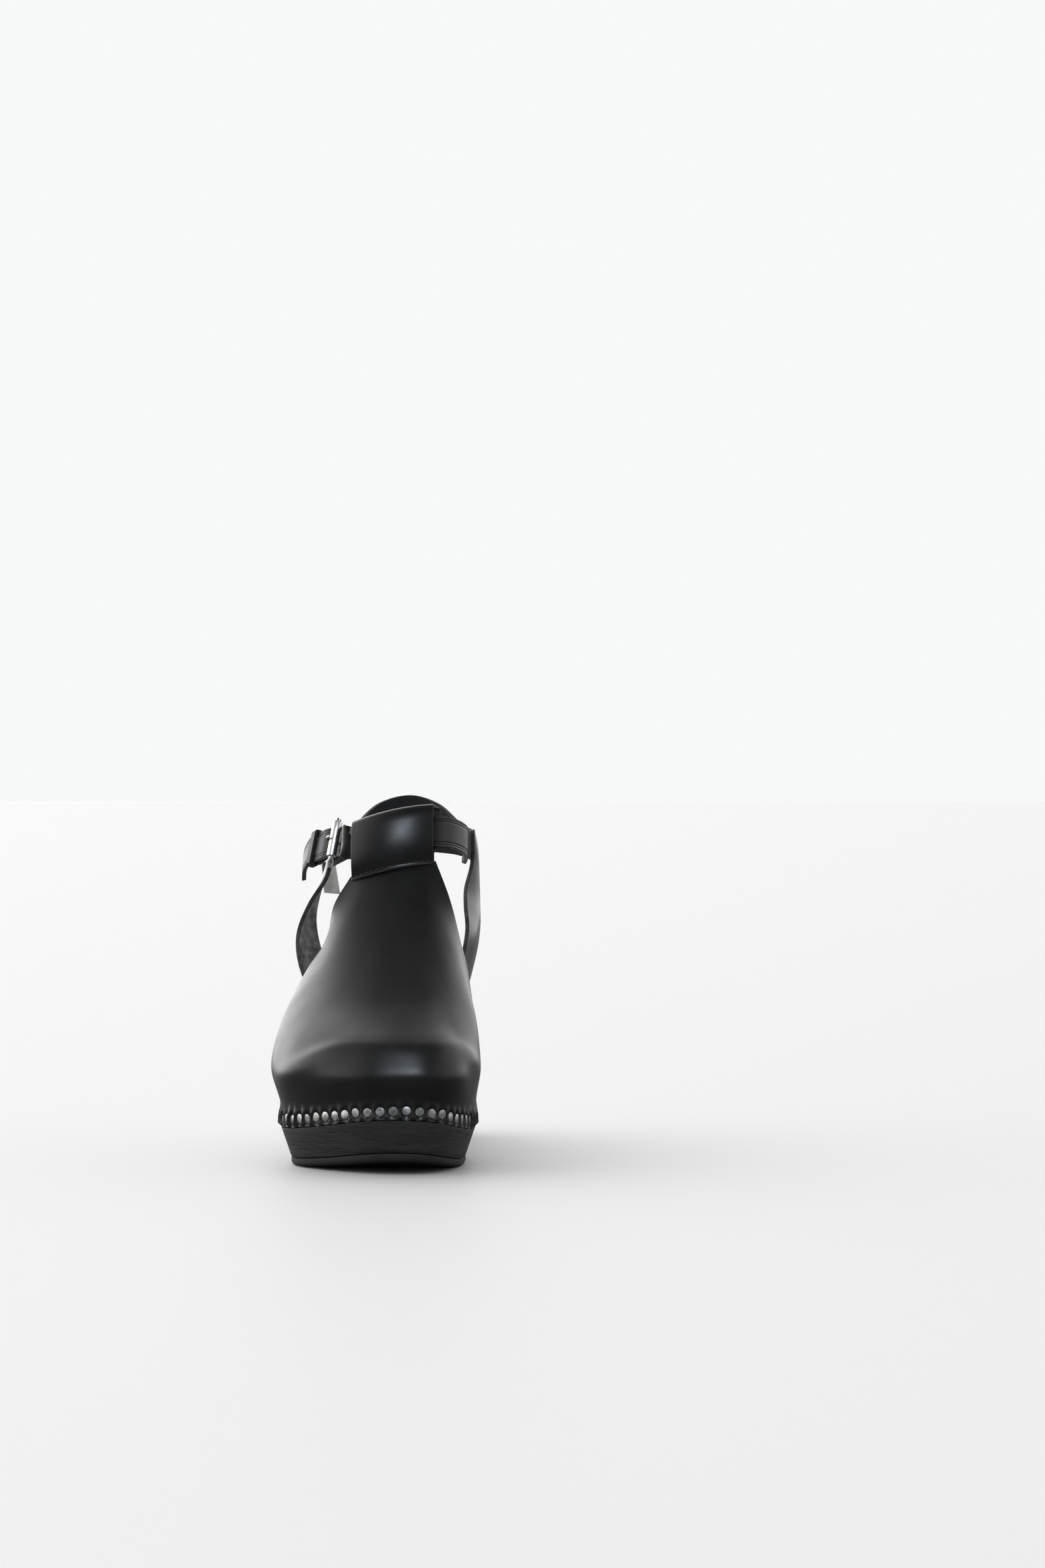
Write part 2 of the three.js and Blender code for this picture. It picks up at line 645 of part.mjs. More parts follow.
const strapPath = [
  [last(30.8, 202, 155), loopUp],
  [last(32.2, 191, 156.4), loopUp],
  [last(32.9, 180, 158), loopUp],
  [last(32.8, 166, 160.4), loopUp],
  [last(29.4, 153, 163), loopUp],
  [last(24.4, 142.5, 164.6), loopUp],
  ...[1, 0.7, 0.4, 0.1, -0.2, -0.5, -0.8, -1].map((across) => [inTunnel(across), loopUp]),
  [last(-28.4, 137.6, 160.2), loopUp],
  [buckle(-20.5, 0.3, 2), barDown.clone().negate()],
  [buckle(rollerBack, strapUnderRoller, 0.5), barDown.clone().negate()],
  [buckle(-6.5, strapOverBar - 3.1, 0), barDown.clone().negate()],
  [buckle(0, strapOverBar, 0), barDown.clone().negate()],
  [buckle(7, strapOverBar + 1.1, 0), barDown.clone().negate()],
  [buckle(keeperBack, strapAtKeeper, 0), barDown.clone().negate()],
  [buckle(20, strapOverBar + 3, 0.4), barDown.clone().negate()],
  [buckle(28, strapOverBar + 2.6, 3), barDown.clone().addScaledVector(runBack, -0.35).negate()],
  [buckle(35, strapOverBar + 0.8, 6.6), barDown.clone().addScaledVector(runBack, -0.5).negate()],
];

// Punched holes, as distances behind the hinge bar and the strap's height there.
const strapHoles = [
  [-20.5, 0.3, 2],
  [7, strapOverBar + 1.1, 0],
  [20, strapOverBar + 3, 0.4],
  [28, strapOverBar + 2.6, 3],
];
const holeDiameter = 2.6;

const strapPlaces = strapPath.map((p) => p[0]);
const strapWidthways = strapPath.map((p) => p[1]);
const strapBand = (extra) =>
  band(strapPlaces, strapWidthways, strapWidth + 2 * extra, leather + 2 * extra, 76);

function ankleStrap() {
  const [slotFront, slotRear] = [-9.6, 2.2];
  const slotOutline = [[slotFront, -4], [slotRear, -4], [slotRear, 9], [slotFront, 9]];
  const slot = plate(slotOutline, prongWidth + 2 * slotSlack, buckleMatrix);
  const holes = strapHoles.map(([back, out, down]) =>
    rod(buckle(back, out - 3, down), buckle(back, out + 3, down), holeDiameter, 8),
  );
  return [slot, quarterSolid(2 * fit), ...holes].reduce((left, cut) => left.subtract(cut), strapBand(0));
}

// Nails

// Each nail: where its head sits on the leather, and the way it points out of the wood.
function nailPlaces() {
  const places = [];
  const rowLength = innerRun - outerRun - nailPitch;
  for (let i = 0; i < vampNails; i += 2) {
    const name = "vamp_nail_" + String(i + 1).padStart(2, "0");
    places.push({ name, run: outerRun + nailPitch / 2 + (rowLength * i) / (vampNails - 1) });
  }
  const row = places.map(({ name, run }) => {
    const { point, outward } = planAt(run);
    const seat = point.setZ(ledgeHeight(point.y) + nailHeight).addScaledVector(outward, fit - 0.1);
    return { name, outward, seat };
  });
  const up = (nailHeight - fit) / (ledgeDrop + 1 - fit) / (quarterEdges.length - 1);
  [["outer", up, -1], ["inner", 1 - up, 1]].forEach(([label, along, sign]) => {
    for (let i = 0; i < legNails; i++) {
      const on = quarterSurface(along, (i + 0.5) / legNails);
      const { outward } = planAt(sign * sideRun(sign < 0 ? outerSide : innerSide, on.y));
      row.push({ name: `${label}_leg_nail_${i + 1}`, outward, seat: on.addScaledVector(outward, fit + 0.1) });
    }
  });
  return row;
}

function nailGeometry() {
  const [head, shank] = [nailHead / 2, nailShank / 2];
  const profile = [
    [0, -nailReach],
    [shank, 1.6 - nailReach],
    [shank, 0],
    [head, 0],
    [head * 0.9, nailHeadHeight * 0.6],
    [0, nailHeadHeight],
  ];
  return new THREE.LatheGeometry(profile.map(([x, y]) => new THREE.Vector2(x, y)), 8);
}

function nailHole({ seat, outward }) {
  const half = nailShank / 2 + fit;
  const along = (reach) => seat.clone().addScaledVector(outward, reach);
  return rod(along(3), along(-nailReach - 0.6), half * 2, 6);
}

// The clog

const nails = nailPlaces();
const nailHoles = wasm.Manifold.union(nails.map(nailHole));

const finishes = {
  wood: { color: 0x1c1b1b, roughness: 0.62, metalness: 0 },
  rubber: { color: 0x181818, roughness: 0.8, metalness: 0 },
  leather: { color: 0x151516, roughness: 0.36, metalness: 0 },
  nickel: { color: 0xc9c6c0, roughness: 0.18, metalness: 1 },
  steel: { color: 0xb4b3ae, roughness: 0.34, metalness: 1 },
};

const clog = new THREE.Group();

function addPiece(name, geometry, finish) {
  const mesh = new THREE.Mesh(geometry, new THREE.MeshStandardMaterial(finishes[finish]));
  mesh.name = name;
  clog.add(mesh);
  return mesh;
}

function addSolid(name, solid, finish) {
  return addPiece(name, toGeometry(solid), finish);
}

const vampSheet = sheet((up, around) => vampSurface(up, 1 - around), 13, 48, leather);
const vamp = vampSheet.add(loopSolid(false)).subtract(loopSolid(true)).subtract(strapBand(fit));

addSolid("wooden_sole", woodenSole().subtract(nailHoles), "wood");
addSolid("front_outsole", frontOutsole(), "rubber");
addSolid("heel_lift", heelLift(), "rubber");
addSolid("vamp", vamp.subtract(nailHoles), "leather");
addSolid("heel_quarter", quarterSolid(0).subtract(nailHoles), "leather");
addSolid("ankle_strap", ankleStrap(), "leather");
addSolid("buckle_chape", buckleChape(), "leather");
addSolid("keeper_loop", keeperLoop(), "leather");
addSolid("buckle_frame", buckleFrame(), "nickel");
addSolid("buckle_roller", buckleRoller(), "nickel");
addSolid("buckle_prong", buckleProng(), "nickel");

nails.forEach(({ name, seat, outward }) => {
  const nail = addPiece(name, nailGeometry(), "steel");
  nail.quaternion.setFromUnitVectors(new THREE.Vector3(0, 1, 0), outward);
  nail.position.copy(seat);
});

// The origin is under the middle of the clog's box, on the ground.
const box = new THREE.Box3().setFromObject(clog, true);
clog.position.set(-(box.min.x + box.max.x) / 2, -(box.min.y + box.max.y) / 2, -box.min.z);

export default new THREE.Group().add(clog);
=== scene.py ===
import bisect
import math
import random

import bmesh
import bpy
from mathutils import Matrix, Vector


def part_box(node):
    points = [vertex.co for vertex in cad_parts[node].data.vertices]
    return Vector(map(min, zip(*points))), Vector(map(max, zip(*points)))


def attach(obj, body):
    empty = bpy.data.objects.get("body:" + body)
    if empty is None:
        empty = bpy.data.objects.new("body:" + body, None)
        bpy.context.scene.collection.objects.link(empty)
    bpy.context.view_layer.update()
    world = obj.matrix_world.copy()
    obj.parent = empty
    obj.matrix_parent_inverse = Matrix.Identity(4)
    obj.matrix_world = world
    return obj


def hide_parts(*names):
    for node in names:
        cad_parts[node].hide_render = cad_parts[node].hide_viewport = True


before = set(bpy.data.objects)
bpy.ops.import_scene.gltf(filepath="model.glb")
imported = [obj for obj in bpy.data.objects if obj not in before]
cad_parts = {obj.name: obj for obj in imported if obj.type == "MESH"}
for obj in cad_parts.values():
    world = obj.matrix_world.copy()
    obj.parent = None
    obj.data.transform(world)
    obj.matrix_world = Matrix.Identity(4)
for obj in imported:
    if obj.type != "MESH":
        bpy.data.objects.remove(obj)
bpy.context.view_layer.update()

mm = 0.001
chance = random.Random(11)


# Small helpers.

def clampUnit(t):
    return max(0.0, min(1.0, t))


def smooth(t):
    t = clampUnit(t)
    return t * t * (3 - 2 * t)


def curvePoint(points, t, closed=False):  # a smooth curve through points, t from 0 to 1
    count = len(points)
    spans = count if closed else count - 1
    index = min(int(spans * t), spans - 1)
    w = spans * t - index
    if closed:
        p = [points[(index + k) % count] for k in (-1, 0, 1, 2)]
    else:
        before = points[index - 1] if index > 0 else points[0] * 2 - points[1]
        after = points[index + 2] if index + 2 < count else points[-1] * 2 - points[-2]
        p = [before, points[index], points[index + 1], after]
    d = [max(1e-3, math.sqrt((p[k + 1] - p[k]).length)) for k in range(3)]
    leave = ((p[1] - p[0]) / d[0] - (p[2] - p[0]) / (d[0] + d[1]) + (p[2] - p[1]) / d[1]) * d[1]
    arrive = ((p[2] - p[1]) / d[1] - (p[3] - p[1]) / (d[1] + d[2]) + (p[3] - p[2]) / d[2]) * d[1]
    return (p[1] * (2 * w**3 - 3 * w**2 + 1) + leave * (w**3 - 2 * w**2 + w)
            + p[2] * (3 * w**2 - 2 * w**3) + arrive * (w**3 - w**2))


class Line:  # points of a curve, read by the distance along it
    def __init__(self, line):
        self.line = line
        self.runs = [0.0]
        for a, b in zip(line, line[1:]):
            self.runs.append(self.runs[-1] + (b - a).length)
        self.length = self.runs[-1]

    def at(self, run):
        i = max(1, min(bisect.bisect_right(self.runs, run), len(self.line) - 1))
        share = (run - self.runs[i - 1]) / max(1e-9, self.runs[i] - self.runs[i - 1])
        return self.line[i - 1].lerp(self.line[i], clampUnit(share))

    def way(self, run, step=0.6):
        return (self.at(min(self.length, run + step)) - self.at(max(0.0, run - step))).normalized()


def smoothLine(points, samples=1600, closed=False):
    return Line([curvePoint(points, i / samples, closed) for i in range(samples + 1)])


def steps(start, end, count):
    return [start + (end - start) * i / count for i in range(count + 1)]


def meshFrom(bm, name):
    mesh = bpy.data.meshes.new(name)
    bm.to_mesh(mesh)
    bm.free()
    return mesh


def gridMesh(name, points, closed=False, attributes=None):  # a sheet through rows of points, in millimetres
    rows, columns = len(points), len(points[0])
    bm = bmesh.new()
    bmesh.ops.create_grid(bm, x_segments=rows - 1, y_segments=columns - 1, size=0.5)
    layers = {key: bm.verts.layers.float.new(key) for key in (attributes or {})}
    for vert in bm.verts:
        i = round((vert.co.x + 0.5) * (rows - 1))
        j = round((vert.co.y + 0.5) * (columns - 1))
        vert.co = points[i][j] * mm
        for key, layer in layers.items():
            vert[layer] = attributes[key][i][j]
    if closed:
        bmesh.ops.remove_doubles(bm, verts=bm.verts, dist=1e-7)
    return meshFrom(bm, name)


def closedMesh(name, points, gap, fill=True):  # a sheet wound round, welded, with its ends filled
    mesh = gridMesh(name, points, closed=True)
    bm = bmesh.new()
    bm.from_mesh(mesh)
    bmesh.ops.remove_doubles(bm, verts=bm.verts, dist=gap)
    if fill:
        bmesh.ops.holes_fill(bm, edges=[e for e in bm.edges if e.is_boundary], sides=0)
    bmesh.ops.recalc_face_normals(bm, faces=bm.faces)
    bm.to_mesh(mesh)
    bm.free()
    return mesh


def addPiece(name, mesh, body="clog", stands=(), materials=()):
    piece = bpy.data.objects.new(name, mesh)
    bpy.context.scene.collection.objects.link(piece)
    for material in materials:
        piece.data.materials.append(material)
    if body:
        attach(piece, body)
    if stands:
        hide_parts(*stands)
    return piece


def settle(piece, sharpAngle=40):  # applies the modifiers and shades the piece smooth
    graph = bpy.context.evaluated_depsgraph_get()
    mesh = bpy.data.meshes.new_from_object(piece.evaluated_get(graph), depsgraph=graph)
    mesh.name = piece.name
    piece.modifiers.clear()
    piece.data = mesh
    mesh.polygons.foreach_set("use_smooth", [True] * len(mesh.polygons))
    mesh.set_sharp_from_angle(angle=math.radians(sharpAngle))
    return piece


def thicken(piece, thickness, offset=-1, faceMaterials=False, even=True):
    wall = piece.modifiers.new("thickness", "SOLIDIFY")
    wall.thickness = thickness * mm
    wall.offset = offset
    wall.use_even_offset = even
    if faceMaterials:
        wall.material_offset = 1
        wall.material_offset_rim = 2
    return piece


def roundEdges(piece, width, segments=2, angle=50):
    bevel = piece.modifiers.new("edges", "BEVEL")
    bevel.width = width * mm
    bevel.segments = segments
    bevel.limit_method = "ANGLE"
    bevel.angle_limit = math.radians(angle)
    bevel.use_clamp_overlap = True
    return piece


def cutWith(piece, bm):  # takes the solids in bm, which are in metres, out of the piece
    mesh = meshFrom(bm, "cutter")
    cutter = bpy.data.objects.new("cutter", mesh)
    bpy.context.scene.collection.objects.link(cutter)
    cut = piece.modifiers.new("cut", "BOOLEAN")
    cut.operation = "DIFFERENCE"
    cut.solver = "EXACT"
    cut.object = cutter
    graph = bpy.context.evaluated_depsgraph_get()
    made = bpy.data.meshes.new_from_object(piece.evaluated_get(graph), depsgraph=graph)
    piece.modifiers.clear()
    piece.data = made
    bpy.data.objects.remove(cutter)
    return piece


def faceOut(mesh, outward):  # turns an open sheet so that most of its faces look along outward
    if sum(face.normal.dot(outward(face.center)) * face.area for face in mesh.polygons) < 0:
        mesh.flip_normals()


def normalsOf(points):
    rows, columns = len(points), len(points[0])
    made = []
    for i in range(rows):
        row = []
        for j in range(columns):
            down = points[min(i + 1, rows - 1)][j] - points[max(i - 1, 0)][j]
            across = points[i][min(j + 1, columns - 1)] - points[i][max(j - 1, 0)]
            row.append(down.cross(across).normalized())
        made.append(row)
    return made


def basis(along, out, third):
    return Matrix((along, out, third)).transposed()


def tube(name, path, radii, sides=16, closed=False, squeeze=None):  # round bar along a path, in millimetres
    line = path + ([path[0]] if closed else [])
    if not isinstance(radii, (list, tuple)):
        radii = [radii] * len(line)
    frames = []
    up = Vector((0, 0, 1))
    for i, point in enumerate(line):
        if closed:
            way = (path[(i + 1) % len(path)] - path[(i - 1) % len(path)]).normalized()
        else:
            way = (line[min(i + 1, len(line) - 1)] - line[max(i - 1, 0)]).normalized()
        up = (up - way * up.dot(way)).normalized()
        frames.append((point, up.copy(), way.cross(up)))
    if squeeze:
        frames = [(p, squeeze.normalized(), w) for p, u, w in frames]
    points = []
    for (point, upward, side), radius in zip(frames, radii):
        ring = []
        for k in range(sides + 1):
            angle = 2 * math.pi * k / sides
            ring.append(point + upward * radius * math.cos(angle) + side * radius * math.sin(angle))
        points.append(ring)
    return closedMesh(name, points, 1e-7, fill=not closed)


# The last: where the wood and the leather run.

last = {
    "length": 240, "ball": 27, "seat": 87, "toeSpring": 8,
    "plan": [
        (0, 240), (-23, 228), (-31, 205), (-33.5, 180), (-36, 150), (-42, 120), (-50, 90), (-53.8, 66),
        (-51, 44), (-41, 28), (-26, 14), (-10, 3.4), (7, 0), (22, 2.4), (32, 11), (38.5, 25), (42.5, 43),
        (43.5, 62), (41.5, 88), (36.5, 115), (33.5, 145), (33, 180), (31, 205), (23, 228),
    ],
}
wood = {
    "thickness": 23, "ledgeDrop": 8, "sideTaper": 4.5, "edgeRound": 1.4, "rebate": 2.8, "dish": 3,
    "heelBreast": 174, "liftThickness": 8, "outsole": 4, "outsoleEnd": 118, "stations": 150,
}
leatherGauge = 2.2
fit = 0.3

planLine = smoothLine([Vector((x, y, 0)) for x, y in last["plan"]], 3000, closed=True).line
toe = min(range(len(planLine)), key=lambda i: planLine[i].y)
outerSide = Line(planLine[:toe + 1][::-1])
innerSide = Line(planLine[toe:])

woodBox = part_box("wooden_sole")
shift = Vector(
    (woodBox[0].x / mm - min(p.x for p in planLine), woodBox[0].y / mm - min(p.y for p in planLine), 0)
)


def rimHeight(back):
    t = back / last["length"]
    return last["ball"] + last["toeSpring"] * clampUnit(1 - t / 0.22) ** 2 + (
        last["seat"] - last["ball"]
    ) * smooth((t - 0.28) / 0.6)


def ledgeHeight(back):
    return rimHeight(back) - wood["ledgeDrop"]


def underside(back):
    return rimHeight(back) - wood["thickness"]


def crossing(side, back):  # where a side of the plan is at a distance behind the toe
    for i in range(1, len(side)):
        if side[i].y >= back:
            a, b = side[i - 1], side[i]
            return a.x + (b.x - a.x) * (back - a.y) / max(1e-6, b.y - a.y)
    return side[-1].x


def runTo(side, back):
    i = next(i for i, p in enumerate(side.line) if p.y >= back)
    return side.runs[i]


def planAt(run):
    side = outerSide if run < 0 else innerSide
    way = side.way(abs(run), 1.2)
    outward = Vector((-way.y, way.x, 0)) if run < 0 else Vector((way.y, -way.x, 0))
    return side.at(abs(run)), outward


insets = {}


def insetSide(side, narrow):
    key = (side is outerSide, round(narrow, 4))
    if key not in insets:
        sign = 1 if side is outerSide else -1
        line = side.line
        moved = []
        for i, p in enumerate(line):
            way = (line[min(i + 1, len(line) - 1)] - line[max(i - 1, 0)]).normalized()
            moved.append(Vector((p.x + sign * way.y * narrow, p.y - sign * way.x * narrow, 0)))
        insets[key] = moved
    return insets[key]


def edgePair(back, narrow, height):
    at = narrow + back * (last["length"] - 2 * narrow) / last["length"]
    return [
        Vector((crossing(insetSide(side, narrow), at), at, height(at))) for side in (outerSide, innerSide)
    ]


def shifted(points):
    return [[p + shift for p in row] for row in points]


# rings of (outer, inner) edge pairs from the bottom to the top, closed at both ends
def ringSolid(name, rings):
    points = []
    folded = [[[p[0].lerp(p[1], 0.5)] * 2 for p in pairs] for pairs in (rings[0], rings[-1])]
    for pairs in [folded[0]] + rings + [folded[1]]:
        ring = [p[0] for p in pairs] + [p[1] for p in reversed(pairs)]
        points.append(ring + [ring[0]])
    return closedMesh(name, shifted(points), 1e-6)


def stationsTo(start, end, extra=()):
    count = wood["stations"]
    length = last["length"]
    cosine = [length * (1 - math.cos(math.pi * (k + 0.5) / count)) / 2 for k in range(count)]
    inside = [s for s in cosine if start <= s <= end and all(abs(s - e) > 0.7 for e in extra)]
    return sorted(inside + list(extra))


print("shapes of the last ready")


# Materials.

def addNode(tree, kind, values=None, **settings):  # a value that is a socket is linked, any other is set
    node = tree.nodes.new(kind)
    for key, value in settings.items():
        setattr(node, key, value)
    for key, value in (values or {}).items():
        if isinstance(value, bpy.types.NodeSocket):
            tree.links.new(value, node.inputs[key])
        else:
            node.inputs[key].default_value = value
    return node


def newGroup(name, inputs, outputs):
    group = bpy.data.node_groups.new(name, "ShaderNodeTree")
    for label, value in inputs.items():
        socket = group.interface.new_socket(label, in_out="INPUT", socket_type="NodeSocketFloat")
        socket.default_value = value
    for label in outputs:
        group.interface.new_socket(label, in_out="OUTPUT", socket_type="NodeSocketFloat")
    return group, group.nodes.new("NodeGroupInput"), group.nodes.new("NodeGroupOutput")


def objectSpace(tree):
    return addNode(tree, "ShaderNodeTexCoord").outputs["Object"]


def scaledSpace(group, scale):
    values = {0: objectSpace(group), "Scale": scale}
    return addNode(group, "ShaderNodeVectorMath", values, operation="SCALE").outputs[0]


def noise(tree, place, scale, detail, rough=0.5):
    values = {"Vector": place, "Scale": scale, "Detail": detail, "Roughness": rough}
    return addNode(tree, "ShaderNodeTexNoise", values).outputs["Fac"]


def calculate(tree, operation, *values):
    return addNode(tree, "ShaderNodeMath", dict(enumerate(values)), operation=operation).outputs[0]


def ramp(tree, source, low, high, colours=((0, 0, 0, 1), (1, 1, 1, 1))):
    node = addNode(tree, "ShaderNodeValToRGB", {0: source})
    for element, position, colour in zip(node.color_ramp.elements, (low, high), colours):
        element.position = position
        element.color = colour
    return node.outputs["Color"]


def mixColour(tree, factor, first, second):
    values = {"Factor": factor, "A": first, "B": second}
    return addNode(tree, "ShaderNodeMix", values, data_type="RGBA").outputs["Result"]


def makeGrainGroup():  # fine creases and pores of finished leather
    group, inward, outward = newGroup("leatherGrain", {"Scale": 1.0, "Crease": 0.5}, ("Height", "Blotch"))
    place = scaledSpace(group, inward.outputs["Scale"])
    values = {"Vector": place, "Scale": 1900.0, "Randomness": 1.0}
    cells = addNode(group, "ShaderNodeTexVoronoi", values, feature="DISTANCE_TO_EDGE")
    values = {"Value": cells.outputs["Distance"], "From Min": 0.0, "From Max": 0.16}
    groove = addNode(group, "ShaderNodeMapRange", values)
    weighted = calculate(group, "MULTIPLY", groove.outputs[0], inward.outputs["Crease"])
    height = calculate(group, "ADD", weighted, noise(group, place, 3200.0, 3.0, 0.6))
    group.links.new(height, outward.inputs["Height"])
    group.links.new(noise(group, place, 28.0, 5.0, 0.62), outward.inputs["Blotch"])
    return group


def makeScratchGroup():  # fine scratches and handling marks on metal
    group, inward, outward = newGroup("fineScratches", {"Scale": 1.0}, ("Marks", "Clouds"))
    place = scaledSpace(group, inward.outputs["Scale"])
    layers = []
    for turn in ((0.3, 0.5, 0.9), (1.1, 0.2, 2.1)):
        values = {"Vector": place, "Rotation": turn, "Scale": (1.0, 0.05, 0.2)}
        turned = addNode(group, "ShaderNodeMapping", values).outputs[0]
        layers.append(ramp(group, noise(group, turned, 2600.0, 2.0), 0.56, 0.68))
    group.links.new(calculate(group, "MAXIMUM", *layers), outward.inputs["Marks"])
    group.links.new(noise(group, place, 420.0, 4.0, 0.6), outward.inputs["Clouds"])
    return group


grainGroup = makeGrainGroup()
scratchGroup = makeScratchGroup()


def newMaterial(name, **sockets):
    material = bpy.data.materials.new(name)
    material.use_nodes = True
    tree = material.node_tree
    shader = tree.nodes["Principled BSDF"]
    for key, value in sockets.items():
        shader.inputs[key.replace("_", " ")].default_value = value
    return material, tree, shader


def bumpFrom(tree, shader, height, distance, strength):
    values = {"Strength": strength, "Distance": distance * mm, "Height": height}
    tree.links.new(addNode(tree, "ShaderNodeBump", values).outputs[0], shader.inputs["Normal"])


def paint(tree, shader, colour, source=None, rough=(0, 1), span=(0.3, 0.7)):  # the roughness follows source
    tree.links.new(colour, shader.inputs["Base Color"])
    if source is not None:
        values = {
            "Value": source, "From Min": span[0], "From Max": span[1], "To Min": rough[0], "To Max": rough[1],
        }
        tree.links.new(addNode(tree, "ShaderNodeMapRange", values).outputs[0], shader.inputs["Roughness"])


leatherLook = {
    "dark": (0.0045, 0.0047, 0.005, 1), "light": (0.0085, 0.0088, 0.009, 1),
    # painted shade colour for the nail pockets and the pleat troughs
    "crease": (0.003, 0.003, 0.003, 1),
    "rough": (0.33, 0.46), "coat": 0.08, "coatRoughness": 0.24, "bump": 0.028, "specular": 0.42,
}


def makeLeather(name, look, shadedPockets=False):
    material, tree, shader = newMaterial(
        name, Coat_Weight=look["coat"], Coat_Roughness=look["coatRoughness"],
        Specular_IOR_Level=look["specular"],
    )
    grain = addNode(tree, "ShaderNodeGroup", {"Scale": 1.0, "Crease": 0.55}, node_tree=grainGroup)
    blotch = grain.outputs["Blotch"]
    colour = mixColour(tree, ramp(tree, blotch, 0.35, 0.7), look["dark"], look["light"])
    if shadedPockets:  # painted shade in the nail pockets and between the pleats, held in the sheet's own attribute
        pocket = addNode(tree, "ShaderNodeAttribute", attribute_name="pocket")
        colour = mixColour(tree, pocket.outputs["Fac"], colour, look["crease"])
    paint(tree, shader, colour, blotch, look["rough"])
    bumpFrom(tree, shader, grain.outputs["Height"], look["bump"], 0.5)
    return material


def makeFibre(name, low, high, scale, bump):  # flesh side and cut edges of leather
    material, tree, shader = newMaterial(name, Sheen_Weight=0.2, Sheen_Roughness=0.6, Roughness=0.92)
    place = objectSpace(tree)
    paint(tree, shader, ramp(tree, noise(tree, place, scale, 8.0, 0.7), 0.36, 0.66, (low, high)))
    bumpFrom(tree, shader, noise(tree, place, scale * 16, 4.0, 0.7), bump, 0.8)
    return material


def makeFleshSide():  # pale and mottled on the legs, with painted shade making it dark towards the heel round the collar
    material = makeFibre("fleshSide", (0.035, 0.035, 0.034, 1), (0.36, 0.362, 0.35, 1), 170, 0.14)
    tree = material.node_tree
    shader = tree.nodes["Principled BSDF"]
    pale = shader.inputs["Base Color"].links[0].from_socket
    # painted shade: the flesh side darkens towards the heel, inside the heel cup
    axes = addNode(tree, "ShaderNodeSeparateXYZ", {0: objectSpace(tree)})
    values = {"Value": axes.outputs["Y"], "From Min": 0.066, "From Max": 0.084}
    heelShade = addNode(tree, "ShaderNodeMapRange", values, interpolation_type="SMOOTHSTEP").outputs[0]
    paint(tree, shader, mixColour(tree, heelShade, pale, (0.006, 0.006, 0.0085, 1)))
    return material


vampFinish = makeLeather("vampLeather", leatherLook, shadedPockets=True)
loopFinish = makeLeather("loopLeather", dict(leatherLook, rough=(0.32, 0.44)))
strapFinish = makeLeather("strapLeather", dict(leatherLook, rough=(0.3, 0.42), specular=0.2, coat=0.03))
quarterFinish = makeLeather(
    "quarterLeather", dict(leatherLook, rough=(0.26, 0.36), coat=0.3, coatRoughness=0.16),
)
suedeFinish = makeFleshSide()
rawEdgeFinish = makeFibre("cutEdge", (0.007, 0.007, 0.008, 1), (0.075, 0.075, 0.073, 1), 300, 0.1)
strapEdgeFinish = makeFibre("inkedEdge", (0.009, 0.009, 0.009, 1), (0.026, 0.026, 0.026, 1), 500, 0.06)
# a lighter copy of the flesh side: its own pale grey plus painted light where light falls inside the quarter
litSuedeFinish = makeFibre("litSuedePatch", (0.6, 0.605, 0.585, 1), (0.85, 0.855, 0.83, 1), 240, 0.1)

woodLook = {
    "dark": (0.014, 0.0142, 0.0145, 1), "light": (0.034, 0.034, 0.0335, 1), "pore": (0.009, 0.009, 0.009, 1),
    "rough": (0.46, 0.68), "grain": (0.07, 0.045, 1.0), "pores": (0.12, 0.07, 1.0), "bump": 0.3,
}


def makeWood():
    material, tree, shader = newMaterial("stainedWood", Coat_Weight=0.05, Coat_Roughness=0.4)
    place = objectSpace(tree)
    warp = addNode(tree, "ShaderNodeTexNoise", {"Vector": place, "Scale": 14.0, "Detail": 2.0})
    values = {0: warp.outputs["Color"], 1: (0.004, 0.0, 0.004), 2: place}
    wave = addNode(tree, "ShaderNodeVectorMath", values, operation="MULTIPLY_ADD").outputs[0]
    grain = addNode(tree, "ShaderNodeMapping", {"Vector": wave, "Scale": woodLook["grain"]}).outputs[0]
    fibres = noise(tree, grain, 900.0, 6.0, 0.66)
    rings = noise(tree, grain, 210.0, 3.0)
    pores = addNode(tree, "ShaderNodeMapping", {"Vector": place, "Scale": woodLook["pores"]}).outputs[0]
    dashes = addNode(tree, "ShaderNodeTexVoronoi", {"Vector": pores, "Scale": 620.0})
    poreMask = ramp(tree, dashes.outputs["Distance"], 0.12, 0.3)
    base = mixColour(tree, ramp(tree, rings, 0.34, 0.68), woodLook["dark"], woodLook["light"])
    paint(tree, shader, mixColour(tree, poreMask, woodLook["pore"], base), fibres, woodLook["rough"])
    bumpFrom(tree, shader, calculate(tree, "MULTIPLY_ADD", poreMask, 0.5, fibres), woodLook["bump"], 0.8)
    return material


rubberLook = {
    "colours": ((0.017, 0.017, 0.0172, 1), (0.03, 0.0297, 0.029, 1)), "rough": (0.58, 0.82), "bump": 0.07,
}


def makeRubber():
    material, tree, shader = newMaterial("moulded rubber")
    place = objectSpace(tree)
    dust = noise(tree, place, 60.0, 6.0, 0.7)
    colour = ramp(tree, dust, 0.4, 0.75, rubberLook["colours"])
    paint(tree, shader, colour, dust, rubberLook["rough"], (0, 1))
    bumpFrom(tree, shader, noise(tree, place, 1500.0, 4.0, 0.65), rubberLook["bump"], 0.7)
    return material


def makeMetal(name, colours, rough, scale, bump):
    material, tree, shader = newMaterial(name, Metallic=1.0)
    group = addNode(tree, "ShaderNodeGroup", {"Scale": scale}, node_tree=scratchGroup)
    marks, clouds = group.outputs["Marks"], group.outputs["Clouds"]
    worn = calculate(tree, "MULTIPLY_ADD", marks, 0.45, clouds)
    paint(tree, shader, ramp(tree, clouds, 0.3, 0.72, colours), worn, rough, (0.3, 1.1))
    bumpFrom(tree, shader, marks, bump, 0.6)
    return material


